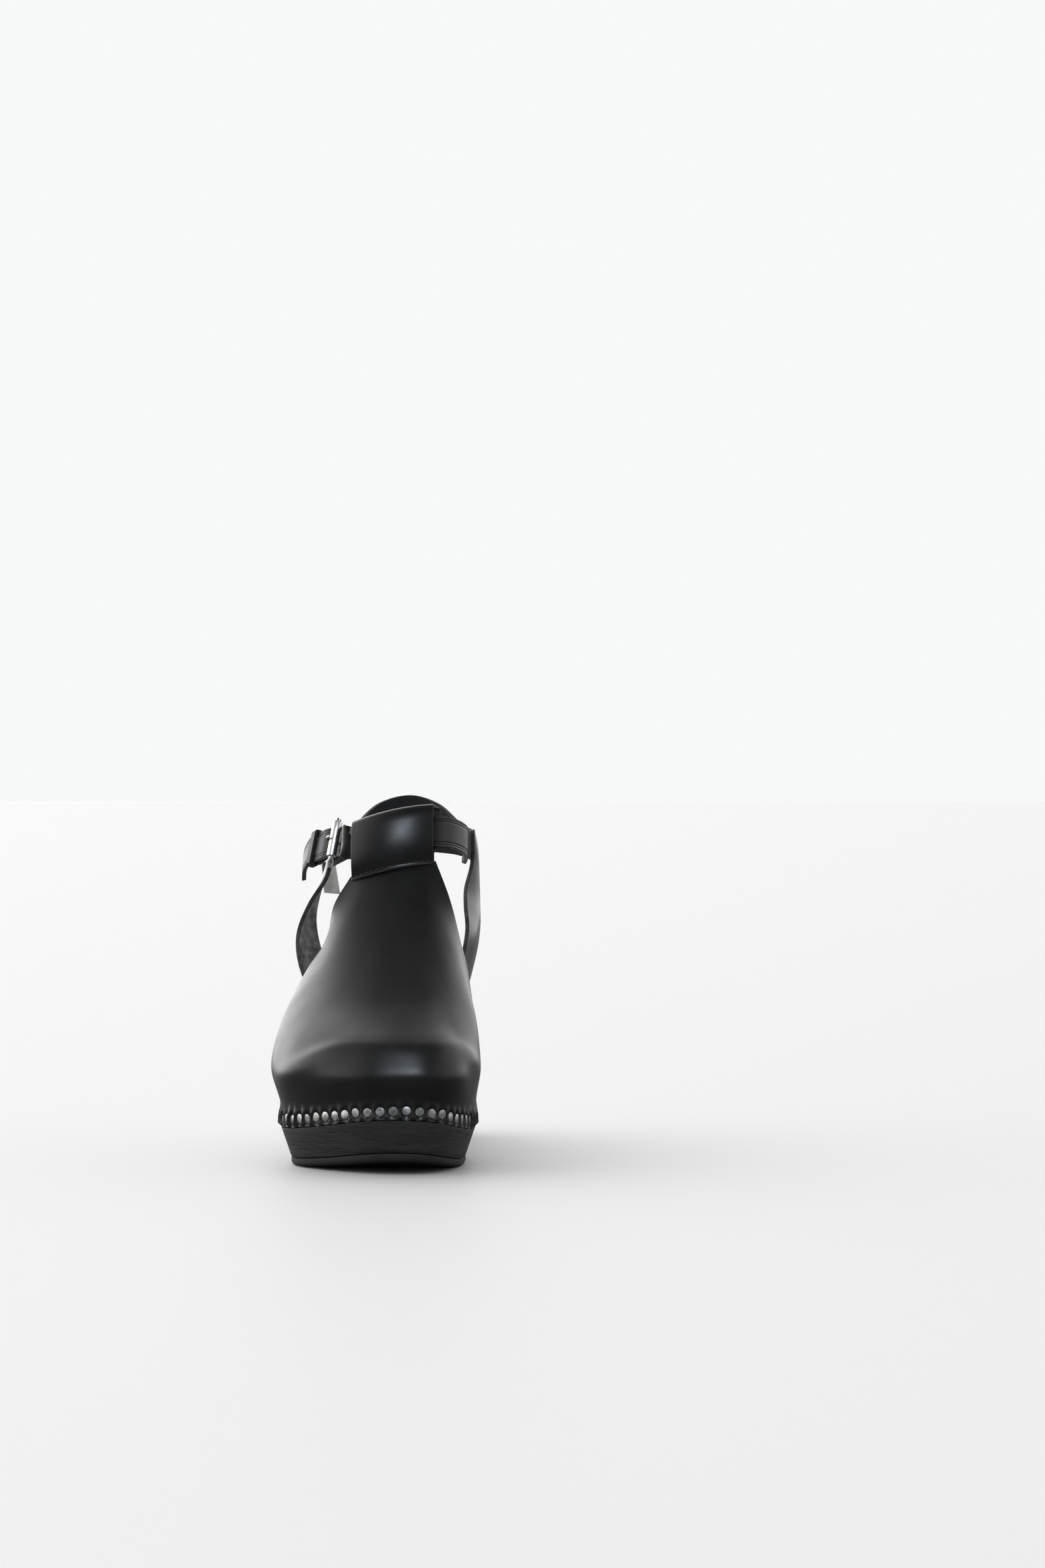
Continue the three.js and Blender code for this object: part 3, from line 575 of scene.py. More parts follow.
def makeThread():
    material, tree, shader = newMaterial("waxedThread", Roughness=0.5)
    values = {"Vector": objectSpace(tree), "Scale": 900.0, "Distortion": 1.5, "Detail": 1.0}
    twist = addNode(tree, "ShaderNodeTexWave", values, bands_direction="DIAGONAL").outputs["Fac"]
    paint(tree, shader, ramp(tree, twist, 0.2, 0.8, ((0.006, 0.006, 0.006, 1), (0.03, 0.03, 0.031, 1))))
    bumpFrom(tree, shader, twist, 0.08, 0.8)
    return material


woodFinish = makeWood()
rubberFinish = makeRubber()
nickelFinish = makeMetal(
    "polishedNickel", ((0.8, 0.79, 0.77, 1), (0.92, 0.91, 0.89, 1)), (0.24, 0.4), 1.0, 0.006,
)
nailFinish = makeMetal("nailSteel", ((0.26, 0.256, 0.247, 1), (0.74, 0.73, 0.71, 1)), (0.24, 0.5), 0.8, 0.05)
threadFinish = makeThread()
print("materials ready")


# Wooden sole, outsole and heel lift.

def closing(bottom, shares):  # pairs that close a face from its edge towards its middle line
    return [[bottom[0].lerp(bottom[1], a), bottom[1].lerp(bottom[0], a)] for a in shares]


def woodPairs(back):
    inHeel = back > wood["heelBreast"] + 0.2
    low = (lambda s: wood["liftThickness"]) if inHeel else underside
    taper, corner, rebate = wood["sideTaper"], wood["edgeRound"], wood["rebate"]
    bottomEdge = edgePair(back, taper + corner, low)
    pairs = closing(bottomEdge, (0.45, 0.3, 0.15)) + [bottomEdge]
    pairs.append(edgePair(back, taper + corner * 0.35, lambda s: low(s) + corner * 0.25))
    for share in (0.0, 0.2, 0.4, 0.6, 0.8, 0.96):
        height = lambda s: (low(s) + corner) * (1 - share) + (ledgeHeight(s) - fit) * share
        pairs.append(edgePair(back, taper * (1 - share), height))
    for narrow, height in (
        (0.15, lambda s: ledgeHeight(s) - fit), (rebate, ledgeHeight),
        (rebate, lambda s: rimHeight(s) - corner), (rebate + corner * 0.3, lambda s: rimHeight(s) - corner * 0.3),
    ):
        pairs.append(edgePair(back, narrow, height))
    rim = edgePair(back, rebate + corner, rimHeight)
    pairs.append(rim)
    for share in (0.05, 0.12, 0.2, 0.3, 0.4, 0.49):
        drop = wood["dish"] * smooth(share / 0.3)
        pairs.append([p.lerp(q, share) - Vector((0, 0, drop)) for p, q in (rim, rim[::-1])])
    return pairs


breast = wood["heelBreast"]
cuts = stationsTo(0, last["length"], (breast, breast + 0.6))
woodMesh = ringSolid("woodenSole", [woodPairs(s) for s in cuts])
woodenSole = addPiece(
    "woodenSole", woodMesh, stands=("wooden_sole",), materials=[woodFinish],
)
settle(woodenSole, 35)


def outsolePairs(back):
    end = wood["outsoleEnd"]
    top = lambda s: underside(s) - fit * 0.5
    low = lambda s: top(s) - (wood["outsole"] - fit) * (0.3 + 0.7 * smooth((end - s) / 10))
    inset = wood["sideTaper"] + 0.5
    bottom = edgePair(back, inset + 1.8, low)
    pairs = closing(bottom, (0.4, 0.2)) + [bottom]
    for narrow, height in (
        (0.6, lambda s: low(s) + 0.5), (0, lambda s: low(s) + 1.4), (0, lambda s: top(s) - 0.3), (0.5, top),
    ):
        pairs.append(edgePair(back, inset + narrow, height))
    return pairs


outsoleMesh = ringSolid("frontOutsole", [outsolePairs(s) for s in stationsTo(0, wood["outsoleEnd"])])
frontOutsole = addPiece(
    "frontOutsole", outsoleMesh, stands=("front_outsole",), materials=[rubberFinish],
)
settle(frontOutsole, 35)


liftSteps = ((0.3, 0.5), (0, 1.4), (0, 3.6), (0.35, 4.0), (0, 4.4), (0, 7.0), (0.4, 7.6))  # narrower, height


def liftPairs(back):
    inset = wood["sideTaper"] + 0.3
    bottom = edgePair(back, inset + 1.2, lambda s: 0)
    pairs = closing(bottom, (0.4, 0.2)) + [bottom]
    for narrow, height in liftSteps:
        pairs.append(edgePair(back, inset + narrow, lambda s: height))
    return pairs


liftMesh = ringSolid(
    "heelLift", [liftPairs(s) for s in stationsTo(breast + 2.7, last["length"], (breast + 2.7,))]
)
heelLift = addPiece("heelLift", liftMesh, stands=("heel_lift",), materials=[rubberFinish])
settle(heelLift, 35)
print("wood and rubber ready")


# Vamp.

nails = {
    "pitch": 6.4, "height": 4, "head": 4.6, "domeHeight": 0.5, "rim": 0.3, "tilt": 5, "legCount": 5,
    "sunk": 0.25,
}
vampShape = {
    "end": 137, "columnsPerNail": 7, "weltRows": 16, "upperRows": 84,
    "pleatFront": 0.95, "pleatSide": 1.8, "pleatTop": 9, "pocketDepth": 0.8, "pocketRadius": 2.9,
    "lipFlare": 0.35, "lipWave": 0.45, "crest": 2.3,
}
railPoints = [
    [
        (-45.5, 133, 74), (-56, 100, 58), (-59.4, 68, 49), (-50, 34, 47), (-30, 12, 48), (-8, -1, 49),
        (7, -3.4, 49), (24, -1, 49), (37, 11, 48), (43, 30, 47), (45.6, 62, 49), (42, 98, 58),
        (36.5, 133, 74),
    ],
    [
        (-48.5, 129, 90), (-52.7, 102, 80), (-55, 76, 69), (-43, 40, 64), (-22, 19, 64), (7, 9.5, 64.5),
        (25, 14, 64), (36, 34, 65), (43, 68, 70), (40, 100, 80), (37, 128, 90),
    ],
    [
        (-36.5, 122, 110), (-38.8, 108, 103), (-36, 88, 96), (-24, 64, 88), (-8, 49, 83), (5, 46, 82),
        (18, 51, 84), (28, 68, 90), (33, 90, 98), (33.5, 110, 105), (33, 121, 109),
    ],
    [
        (-33, 124, 127), (-21, 112, 125), (-5, 106, 124), (14, 111, 128), (27.5, 123, 130),
    ],
    [
        (-25, 131.6, 141.6), (-14, 127.2, 143.4), (-3, 125.3, 145.7), (9, 127.2, 148.2), (19.5, 131.4, 150),
    ],
]
outerRun = -runTo(outerSide, vampShape["end"])
innerRun = runTo(innerSide, vampShape["end"])
rowLength = innerRun - outerRun - nails["pitch"]
nailCount = round(rowLength / nails["pitch"]) + 1
nailStep = rowLength / (nailCount - 1)
firstNail = outerRun + nails["pitch"] / 2
rails = [smoothLine([Vector(p) for p in points]) for points in railPoints]


def weltPoint(around, above):
    point, outward = planAt(outerRun + (innerRun - outerRun) * around)
    point = point - outward * 0.1
    return Vector((point.x, point.y, ledgeHeight(point.y) + above))


gapStrength = [chance.uniform(0.65, 1.3) for _ in range(nailCount + 2)]
gapLean = [chance.uniform(-0.05, 0.05) for _ in range(nailCount + 2)]


# how far the leather stands out at a place near the nails, and how much painted shade it gets there, most in the
# nail pockets and the pleat troughs
def vampRelief(run, above):
    phase = (run - firstNail) / nailStep
    gap = int(math.floor(phase)) + 1
    gap = max(0, min(gap, nailCount))
    side = smooth((abs(run) - 25) / 70)
    strength = (
        vampShape["pleatFront"] + (vampShape["pleatSide"] - vampShape["pleatFront"]) * side
    ) * gapStrength[gap]
    offset = (phase - round(phase)) * nailStep
    lifted = above - nails["height"]
    pocket = math.exp(-((math.hypot(offset, lifted * 0.9) / vampShape["pocketRadius"]) ** 4))
    wave = 0.5 - 0.5 * math.cos(2 * math.pi * (phase + gapLean[gap] * max(0.0, lifted)))
    top = vampShape["pleatTop"] * (0.7 + 0.3 * side)
    fade = smooth(above / 1.6) * (1 - smooth((above - 4.5) / top))
    relief = strength * (wave ** 1.3) * fade - vampShape["pocketDepth"] * pocket
    lip = 1 - smooth(above / 1.8)
    relief += vampShape["lipFlare"] * lip * (0.5 + 0.5 * wave)
    # painted shade: deepest in the nail pockets, lighter in the troughs between pleats
    return relief, clampUnit(pocket * 0.9 + 0.5 * fade * (1 - wave) ** 3)


def vampPoints():
    columns = vampShape["columnsPerNail"] * nailCount
    ups = steps(0, 1 / 6, vampShape["weltRows"]) + steps(1 / 6, 1, vampShape["upperRows"])[1:]
    base = []
    for c in range(columns + 1):
        around = c / columns
        spine = [weltPoint(around, fit), weltPoint(around, 9)] + [
            rail.at(around * rail.length) for rail in rails
        ]
        base.append([curvePoint(spine, up) for up in ups])
    outward = normalsOf(base)
    points, pockets = [], []
    for c, (line, normals) in enumerate(zip(base, outward)):
        run = outerRun + (innerRun - outerRun) * c / columns
        flip = -1 if normals[3].dot(planAt(run)[1]) < 0 else 1
        row, shades = [], []
        for up, point, normal in zip(ups, line, normals):
            above = point.z - line[0].z
            relief, shade = vampRelief(run, above) if above < 20 else (0.0, 0.0)
            crestAt = 2.78 - 0.85 * smooth((abs(run - 4) - 24) / 62)
            crestHeight = vampShape["crest"] * (1 - 0.8 * smooth((abs(run) - 45) / 45))
            relief += crestHeight * math.exp(-(((up * 6 - crestAt) / 0.36) ** 2))
            moved = point + normal * flip * relief
            if above < 1.5:
                moved.z += vampShape["lipWave"] * math.sin(run * 0.93) * math.sin(run * 0.31) * (
                    1 - above / 1.5
                )
            row.append(moved)
            shades.append(shade)
        points.append(row)
        pockets.append(shades)
    return points, pockets


# the pocket attribute carries painted shade for the nail pockets and the pleat troughs
vampGrid, pocketShadeGrid = vampPoints()
vampMesh = gridMesh("vampSheet", shifted(vampGrid), attributes={"pocket": pocketShadeGrid})
faceOut(vampMesh, lambda centre: Vector((0, -0.3, 1)))
vampSheet = addPiece(
    "vampSheet", vampMesh, stands=("vamp",),
    materials=[vampFinish, suedeFinish, rawEdgeFinish],
)
thicken(vampSheet, leatherGauge, faceMaterials=True, even=False)
settle(vampSheet, 50)
print("vamp ready")


# Strap loop on the vamp's neck.

loop = {
    "width": 43, "height": 30.5, "slant": 9.5, "bow": 6, "tunnelGap": 0.55, "origin": (-2.9, 129.3, 145.8),
    "rows": 120, "columns": 60, "edgeRound": 0.4, "stitchPitch": 2.9, "threadWidth": 0.75, "gauge": 2.0,
    "backSpread": 0.14, "stitchMargin": 1.5, "stitchGap": 0.7, "stitchOut": 3.35,
}
loopOrigin = Vector(loop["origin"])
loopAcross = Vector((loop["width"], 0, loop["slant"])).normalized()
loopUp = Vector((0, 0.3, 1)).normalized()  # its sides stand upright, while its foot and fold slant
loopFront = loopAcross.cross(loopUp).normalized()
if loopFront.y > 0:
    loopFront = -loopFront
tunnelDepth = leatherGauge + 2 * loop["tunnelGap"]


def loopPoint(across, forward, up):
    bow = loop["bow"] * (1 - across * across) - loop["bow"] / 2
    return loopOrigin + loopAcross * (across * loop["width"] / 2) + loopFront * (forward + bow) + loopUp * up


def loopPath():
    front = leatherGauge + tunnelDepth
    radius = front / 2
    bend = loop["height"] - radius - leatherGauge / 2
    path = [(-2.25, -5.5), (-2.25, -2.5), (-1.6, 0.2), (-0.3, 3.2), (0, 6), (0, bend * 0.6), (0, bend - 1)]
    for i in range(1, 8):
        angle = math.pi * (1 - i / 12)
        path.append((radius + radius * math.cos(angle), bend + radius * math.sin(angle)))
    path += [
        (4.9, bend + 1.5), (5.7, bend - 0.4), (6.2, bend - 3), (6.4, bend - 6.5), (6.3, bend - 11), (5.6, 9),
        (4.6, 5.2),
    ]
    path += [(3.4, 2.6), (2.6, 1.0), (2.2, -0.4), (2.05, -1.3)]
    return smoothLine([Vector((f, u, 0)) for f, u in path], 800)


def loopSheet():
    path = loopPath()
    points = []
    for i in range(loop["rows"] + 1):
        at = path.at(path.length * i / loop["rows"])
        onFront = smooth((i / loop["rows"] - 0.55) / 0.1)
        row = []
        for k in range(loop["columns"] + 1):
            across = -1 + 2 * k / loop["columns"]
            groove = 0.3 * math.exp(-(((at.y - 0.0) / 0.7) ** 2)) * onFront
            sag = 0.35 * onFront * smooth((at.y - 4) / 10) * math.cos(across * 1.3)
            behind = smooth((3 - at.x) / 2.5) * smooth((at.y - 4) / 6)
            spread = 1 + loop["backSpread"] * behind if across > 0 else 1
            row.append(loopPoint(across * spread, at.x - groove + sag, at.y))
        points.append(row)
    return points


loopMesh = gridMesh("strapLoop", shifted(loopSheet()))
strapLoop = addPiece(
    "strapLoop", loopMesh, materials=[loopFinish, loopFinish, rawEdgeFinish],
)
thicken(strapLoop, loop["gauge"], offset=0, faceMaterials=True)
roundEdges(strapLoop, loop["edgeRound"])
settle(strapLoop, 50)


def stitchMesh(name, runs, thread):  # runs of stitches, each a list of (start, end, outward)
    made = bmesh.new()
    for start, end, outward in runs:
        way = end - start
        side = way.cross(outward).normalized()
        lifted = side.cross(way).normalized()
        turn = Matrix.Translation((start.lerp(end, 0.5) + shift) * mm) @ basis(
            way.normalized(), side, lifted).to_4x4()
        bead = bmesh.ops.create_uvsphere(made, u_segments=8, v_segments=6, radius=0.5)
        stretch = Matrix.Diagonal((way.length * mm * 1.05, thread * mm, thread * mm * 0.8, 1))
        bmesh.ops.transform(made, matrix=turn @ stretch, verts=bead["verts"])
    bmesh.ops.recalc_face_normals(made, faces=made.faces)
    return meshFrom(made, name)


def loopStitches():
    count = round((loop["width"] - 2 * loop["stitchMargin"]) / loop["stitchPitch"])
    made = []
    for i in range(count):
        a = -1 + (loop["stitchMargin"] + i * loop["stitchPitch"]) * 2 / loop["width"]
        b = a + (loop["stitchPitch"] - loop["stitchGap"]) * 2 / loop["width"]
        made.append((loopPoint(a, loop["stitchOut"], 0.1), loopPoint(b, loop["stitchOut"], -0.1), loopFront))
    return made


loopThread = addPiece(
    "loopStitching", stitchMesh("loopStitching", loopStitches(), loop["threadWidth"]),
    materials=[threadFinish],
)
settle(loopThread, 80)
print("strap loop ready")


# Heel quarter.

quarter = {"legFront": 143, "legBack": 171, "columns": 400, "rows": 20, "crown": 1.2, "nailRow": 0.0189}


def legFoot(side, back, above):
    return Vector((crossing(side.line, back), back, ledgeHeight(back) + above))


topOfLedge = wood["ledgeDrop"] + 1
quarterPoints = [
    ((-49, 147, 82), (-41.5, 171, 92)), ((-55, 152, 99), (-46.5, 174, 106)),
    ((-55.6, 158, 112), (-48.5, 179, 119)), ((-50, 163, 127), (-47, 186, 132)),
    ((-41.2, 169, 142), (-44.8, 194, 140)), ((-38.4, 176, 161), (-41.5, 202, 146)),
    ((-38, 196, 162.5), (-36.5, 210, 148.5)), ((-32, 212, 165.5), (-29, 219.5, 151)),
    ((-17.5, 226.5, 179.6), (-15.5, 227.5, 152.5)), ((0, 231, 184), (0, 230.5, 153.5)),
    ((15.5, 227, 179.6), (15.5, 227.5, 152.5)), ((28.5, 215, 169), (29, 219.5, 151)),
    ((36.2, 198, 165.3), (36.2, 210, 148.5)), ((37, 189, 165), (38, 203, 145)),
    ((36.5, 186, 148), (39.3, 197, 137)), ((33.6, 177, 135), (40, 191, 126)),
    ((34, 168, 126), (40.4, 186, 116)), ((35.4, 160, 114), (39.4, 180, 104)),
    ((33.2, 151, 94), (36.5, 173, 90)),
]


def legEdges(side, heights):
    return [tuple(legFoot(side, quarter[end], above) for end in ("legFront", "legBack")) for above in heights]


quarterEdges = legEdges(outerSide, (1.5 * fit, topOfLedge)) + [
    (Vector(front), Vector(rear)) for front, rear in quarterPoints
] + legEdges(innerSide, (topOfLedge, 1.5 * fit))
frontEdge = [pair[0] for pair in quarterEdges]
rearEdge = [pair[1] for pair in quarterEdges]
quarterMiddle = Vector((0, 190, 0))


def quarterPoint(along, across, lift=0.0):
    point = curvePoint(frontEdge, along).lerp(curvePoint(rearEdge, along), across)
    outward = Vector((point.x - quarterMiddle.x, point.y - quarterMiddle.y, 0)).normalized()
    crown = quarter["crown"] * smooth(along * 9) * smooth((1 - along) * 9) * math.sin(math.pi * across)
    return point + outward * (crown + lift)


def quarterSheet():
    made = []
    for i in range(quarter["columns"] + 1):
        along = i / quarter["columns"]
        row = []
        for j in range(quarter["rows"] + 1):
            across = j / quarter["rows"]
            point = quarterPoint(along, across)
            foot = max(smooth((0.045 - along) / 0.03), smooth((along - 0.955) / 0.03))
            ripple = 0.28 * foot * math.cos(2 * math.pi * across * nails["legCount"])
            row.append(point - Vector((math.copysign(ripple, point.x), 0, 0)))
        made.append(row)
    return made


quarterMesh = gridMesh("heelQuarter", shifted(quarterSheet()))
faceOut(quarterMesh, lambda centre: centre - (quarterMiddle + shift) * mm)
heelQuarter = addPiece(
    "heelQuarter", quarterMesh, stands=("heel_quarter",),
    materials=[quarterFinish, suedeFinish, rawEdgeFinish],
)
thicken(heelQuarter, leatherGauge, faceMaterials=True)
roundEdges(heelQuarter, 0.3)
settle(heelQuarter, 50)

tab = {
    "top": (-45, 190, 148), "topRear": (-39.5, 203, 149), "foot": (-44.3, 194, 131.5),
    "footRear": (-36.6, 204, 130.5), "thickness": 0.8,
}


def tabPoint(across, down):  # a soft square of pale suede that hangs just inside the quarter, a lighter copy of the flesh side with painted light
    upper = Vector(tab["top"]).lerp(Vector(tab["topRear"]), across)
    lower = Vector(tab["foot"]).lerp(Vector(tab["footRear"]), across)
    bulge = Vector((1, -0.6, 0)) * 0.8 * math.sin(math.pi * across) * math.sin(math.pi * down * 0.8)
    return upper.lerp(lower, down) + bulge


patchRows = [[tabPoint(a, b) for b in steps(0, 1, 14)] for a in steps(0, 1, 12)]
patchMesh = gridMesh("litSuedePatch", shifted(patchRows))
faceOut(patchMesh, lambda centre: Vector((1, 0, 0)))
litSuedePatch = addPiece("litSuedePatch", patchMesh, materials=[litSuedeFinish])
thicken(litSuedePatch, tab["thickness"], offset=0)
roundEdges(litSuedePatch, 0.15)
settle(litSuedePatch, 50)
print("quarter ready")


# Buckle.

buckle = {
    "hinge": (-36.7, 168.9, 157.1), "bar": 2.2, "side": 3.2, "depth": 13.1, "inside": 20.6, "rollerOut": 3.6,
    "roller": 5.0, "rollerLength": 19.5, "bore": 2.9, "cornerRadius": 2.6, "prongWidth": 2.2,
}
hinge = Vector(buckle["hinge"])
runBack = Vector((-0.36, 0.9, -0.24)).normalized()
barDown = Vector((-0.16, -0.33, -0.985))
barDown = (barDown - runBack * barDown.dot(runBack)).normalized()
outwards = runBack.cross(barDown).normalized()
rollerBack = -math.sqrt(buckle["depth"] ** 2 - buckle["rollerOut"] ** 2)
barEnd = buckle["inside"] / 2 + buckle["bar"] / 2


def buckleAt(back, out, down=0.0):
    return hinge + runBack * back + outwards * out + barDown * down


def bucklePath():
    reach = Vector((rollerBack, buckle["rollerOut"], 0))
    radius = buckle["cornerRadius"]
    corners = [(1, 1), (1, -1), (0, -1), (0, 1)]
    flat = []
    for n, (near, down) in enumerate(corners):
        corner = Vector((near * reach.length, down * barEnd, 0))
        before = Vector((corners[n - 1][0] * reach.length, corners[n - 1][1] * barEnd, 0))
        after = Vector((corners[(n + 1) % 4][0] * reach.length, corners[(n + 1) % 4][1] * barEnd, 0))
        start = corner + (before - corner).normalized() * radius
        end = corner + (after - corner).normalized() * radius
        for k in range(9):
            t = k / 8
            flat.append(start * (1 - t) ** 2 + corner * 2 * t * (1 - t) + end * t * t)
        for k in range(1, 12):
            nextStart = after + (corner - after).normalized() * radius
            flat.append(end.lerp(nextStart, k / 12))
    way = reach.normalized()
    path, radii = [], []
    for p in flat:
        path.append(buckleAt(way.x * p.x, way.y * p.x, p.y) + shift)
        side = smooth((abs(p.y) - barEnd + 1.4) / 1.4)
        middle = smooth(min(p.x, reach.length - p.x) / 3)
        radii.append(buckle["bar"] / 2 + (buckle["side"] - buckle["bar"]) / 2 * side * (0.45 + 0.55 * middle))
    return path, radii


framePath, frameRadii = bucklePath()
frameMesh = tube("buckleFrame", framePath, frameRadii + [frameRadii[0]], sides=20, closed=True)
buckleFrame = addPiece(
    "buckleFrame", frameMesh, body="buckle", stands=("buckle_frame",),
    materials=[nickelFinish],
)
settle(buckleFrame, 60)


# spins a profile of (radius, height) about the place's third axis
def spunMesh(name, profile, place, sides=40):
    bm = bmesh.new()
    verts = [bm.verts.new((r * mm, 0, h * mm)) for r, h in profile]
    edges = [bm.edges.new((a, b)) for a, b in zip(verts, verts[1:])]
    bmesh.ops.spin(
        bm, geom=verts + edges, cent=(0, 0, 0), axis=(0, 0, 1), angle=2 * math.pi, steps=sides,
        use_merge=True,
    )
    bmesh.ops.remove_doubles(bm, verts=bm.verts, dist=1e-7)
    bmesh.ops.recalc_face_normals(bm, faces=bm.faces)
    bmesh.ops.transform(bm, matrix=place, verts=bm.verts)
    return meshFrom(bm, name)


rollerHalf = buckle["rollerLength"] / 2
outerR, innerR = buckle["roller"] / 2, buckle["bore"] / 2
rollerProfile = [
    (innerR, rollerHalf), (outerR - 0.45, rollerHalf), (outerR - 0.12, rollerHalf - 0.12),
    (outerR, rollerHalf - 0.5),
    (outerR, -rollerHalf + 0.5), (outerR - 0.12, -rollerHalf + 0.12), (outerR - 0.45, -rollerHalf),
    (innerR, -rollerHalf), (innerR, rollerHalf),
]
rollerPlace = Matrix.Translation(
    (buckleAt(rollerBack, buckle["rollerOut"]) + shift) * mm
) @ basis(runBack, outwards, barDown).to_4x4()
rollerMesh = spunMesh("buckleRoller", rollerProfile, rollerPlace)
buckleRoller = addPiece(
    "buckleRoller", rollerMesh, body="roller", stands=("buckle_roller",),
    materials=[nickelFinish],
)
settle(buckleRoller, 35)


def prongMesh():
    tipOut = buckle["rollerOut"] + outerR + fit
    eye = buckle["bar"] / 2 + 0.85
    path = []
    for k in range(17):  # the eye, wound round the bar
        angle = math.radians(-150 + 290 * k / 16)
        path.append((eye * math.cos(angle), eye * math.sin(angle)))
    path += [
        (-2.6, 2.3), (-4.4, 2.45), (-6.4, 3.3), (-8.4, tipOut - 1.2), (-10.6, tipOut + 0.5),
        (rollerBack, tipOut + 0.95), (rollerBack - 1.6, tipOut + 0.9), (rollerBack - 3, tipOut + 0.55),
    ]
    line = smoothLine([Vector((b, o, 0)) for b, o in path], 160)
    points, radii = [], []
    for i in range(81):
        at = line.at(line.length * i / 80)
        points.append(buckleAt(at.x, at.y) + shift)
        eyeThin = 0.58 + 0.42 * smooth((i - 28) / 12)
        radii.append(0.88 * eyeThin * (1 - 0.3 * (i / 80) ** 4) * (0.4 + 0.6 * smooth((80 - i) / 4)))
    return tube("buckleProng", points, radii, sides=14)


buckleProng = addPiece(
    "buckleProng", prongMesh(), body="prong", stands=("buckle_prong",),
    materials=[nickelFinish],
)
settle(buckleProng, 60)
print("buckle ready")


# Chape and keeper.

chape = {
    "gauge": 1.6, "length": 17, "width": 14.5, "droop": 2, "stitchPitch": 2.6, "threadWidth": 0.6,
    "stitchStart": 6.4, "stitchInset": 1.6, "stitchGap": 0.7, "stitches": 4, "notchAt": (-2, 0),
    "notch": (15, 18),
}


def chapePath():
    radius = buckle["bar"] / 2 + 0.4 + chape["gauge"] / 2
    level = leatherGauge / 2 + fit + chape["gauge"] / 2
    path = [(chape["length"], level), (12, level), (7, level)]
    for i in range(13):
        angle = math.pi / 2 + math.pi * i / 12
        path.append((radius * math.cos(angle), radius * math.sin(angle)))
    path += [(7, -level), (12, -level - chape["droop"] * 0.5), (chape["length"], -level - chape["droop"])]
    return smoothLine([Vector((b, o, 0)) for b, o in path], 400)


chapeLine = chapePath()
chapeRows = []
for i in range(101):
    at = chapeLine.at(chapeLine.length * i / 100)
    chapeRows.append([buckleAt(at.x, at.y, d) for d in steps(-chape["width"] / 2, chape["width"] / 2, 24)])
chapeMesh = gridMesh("buckleChape", shifted(chapeRows))
buckleChape = addPiece(
    "buckleChape", chapeMesh, stands=("buckle_chape",),
    materials=[strapFinish, suedeFinish, strapEdgeFinish],
)
thicken(buckleChape, chape["gauge"], offset=0)


def boxCutter(bm, centre, size, turn):
    place = Matrix.Translation((centre + shift) * mm) @ turn.to_4x4() @ Matrix.Diagonal(
        (size[0] * mm, size[1] * mm, size[2] * mm, 1)
    )
    bmesh.ops.create_cube(bm, size=1, matrix=place)


turn = basis(runBack, outwards, barDown)
slotWidth = buckle["prongWidth"] + 1.2
notch = bmesh.new()
boxCutter(notch, buckleAt(*chape["notchAt"]), (*chape["notch"], slotWidth), turn)
cutWith(buckleChape, notch)
roundEdges(buckleChape, 0.2)
settle(buckleChape, 50)

keeper = {"back": 13.5, "out": 6.7, "width": 5, "gauge": 1.3, "inside": (8.75, 1.4)}
keeperTurn = math.atan2(1, 7)
keeperAlong = runBack * math.cos(keeperTurn) + outwards * math.sin(keeperTurn)
keeperOut = keeperAlong.cross(barDown).normalized()


def keeperRows():
    halfWide, halfThick = keeper["inside"][0] + keeper["gauge"] / 2, keeper["inside"][1] + keeper["gauge"] / 2
    centre = buckleAt(keeper["back"], keeper["out"])
    radius = 1.1
    outline = []
    for n, (a, b) in enumerate([(1, 1), (-1, 1), (-1, -1), (1, -1)]):
        for k in range(7):
            angle = math.radians(90 * n + 90 * k / 6)
            outline.append(
                (
                    a * (halfWide - radius) + radius * math.cos(angle),
                    b * (halfThick - radius) + radius * math.sin(angle),
                )
            )
    outline.append(outline[0])
    along = steps(-keeper["width"] / 2, keeper["width"] / 2, 8)
    return [[centre + barDown * p + keeperOut * q + keeperAlong * s for s in along] for p, q in outline]


keeperMesh = gridMesh("keeperLoop", shifted(keeperRows()), closed=True)
keeperLoop = addPiece(
    "keeperLoop", keeperMesh, stands=("keeper_loop",),
    materials=[strapFinish, strapFinish, strapEdgeFinish],
)
thicken(keeperLoop, keeper["gauge"], offset=0, faceMaterials=True)
roundEdges(keeperLoop, 0.25)
settle(keeperLoop, 45)


# Ankle strap.

strap = {
    "width": 16.5, "columns": 230, "hole": 2.6, "line": 0.22, "lineInset": (1.5, 2.7), "lineWidth": 0.32,
    "slotAt": (-3.7, 2.5), "slot": (11.8, 13), "punchDepth": 7,
}
tunnelMiddle = leatherGauge / 2 + tunnelDepth / 2
strapUp = (loop["height"] - leatherGauge - tunnelDepth / 2) / 2 + 3.4
strapTilt = 1.5
upward = -barDown
strapStart = [
    (30.8, 202, 155), (32.2, 191, 156.4), (32.9, 180, 158), (32.8, 166, 160.4), (29.4, 153, 163),
    (24.4, 142.5, 164.6),
]
strapPath = [(Vector(p), loopUp) for p in strapStart] + [
    (loopPoint(across, tunnelMiddle, strapUp - strapTilt * across), loopUp)
    for across in (1, 0.7, 0.4, 0.1, -0.2, -0.5, -0.8, -1)
] + [(Vector((-28.4, 137.6, 160.2)), loopUp)] + [
    (buckleAt(*p), upward) for p in (
        (-20.5, 0.3, 2), (rollerBack, -0.7, 0.5), (-6.5, 1.5), (0, 4.6), (7, 5.7), (13.5, 6.7),
        (20, 7.6, 0.4),
    )
] + [
    (buckleAt(28, 7.2, 3), -(barDown - runBack * 0.35)),
    (buckleAt(35, 5.4, 6.6), -(barDown - runBack * 0.5)),
]
strapHoles = [(-20.5, 0.3, 2), (7, 5.7, 0), (20, 7.6, 0.4), (28, 7.2, 3)]


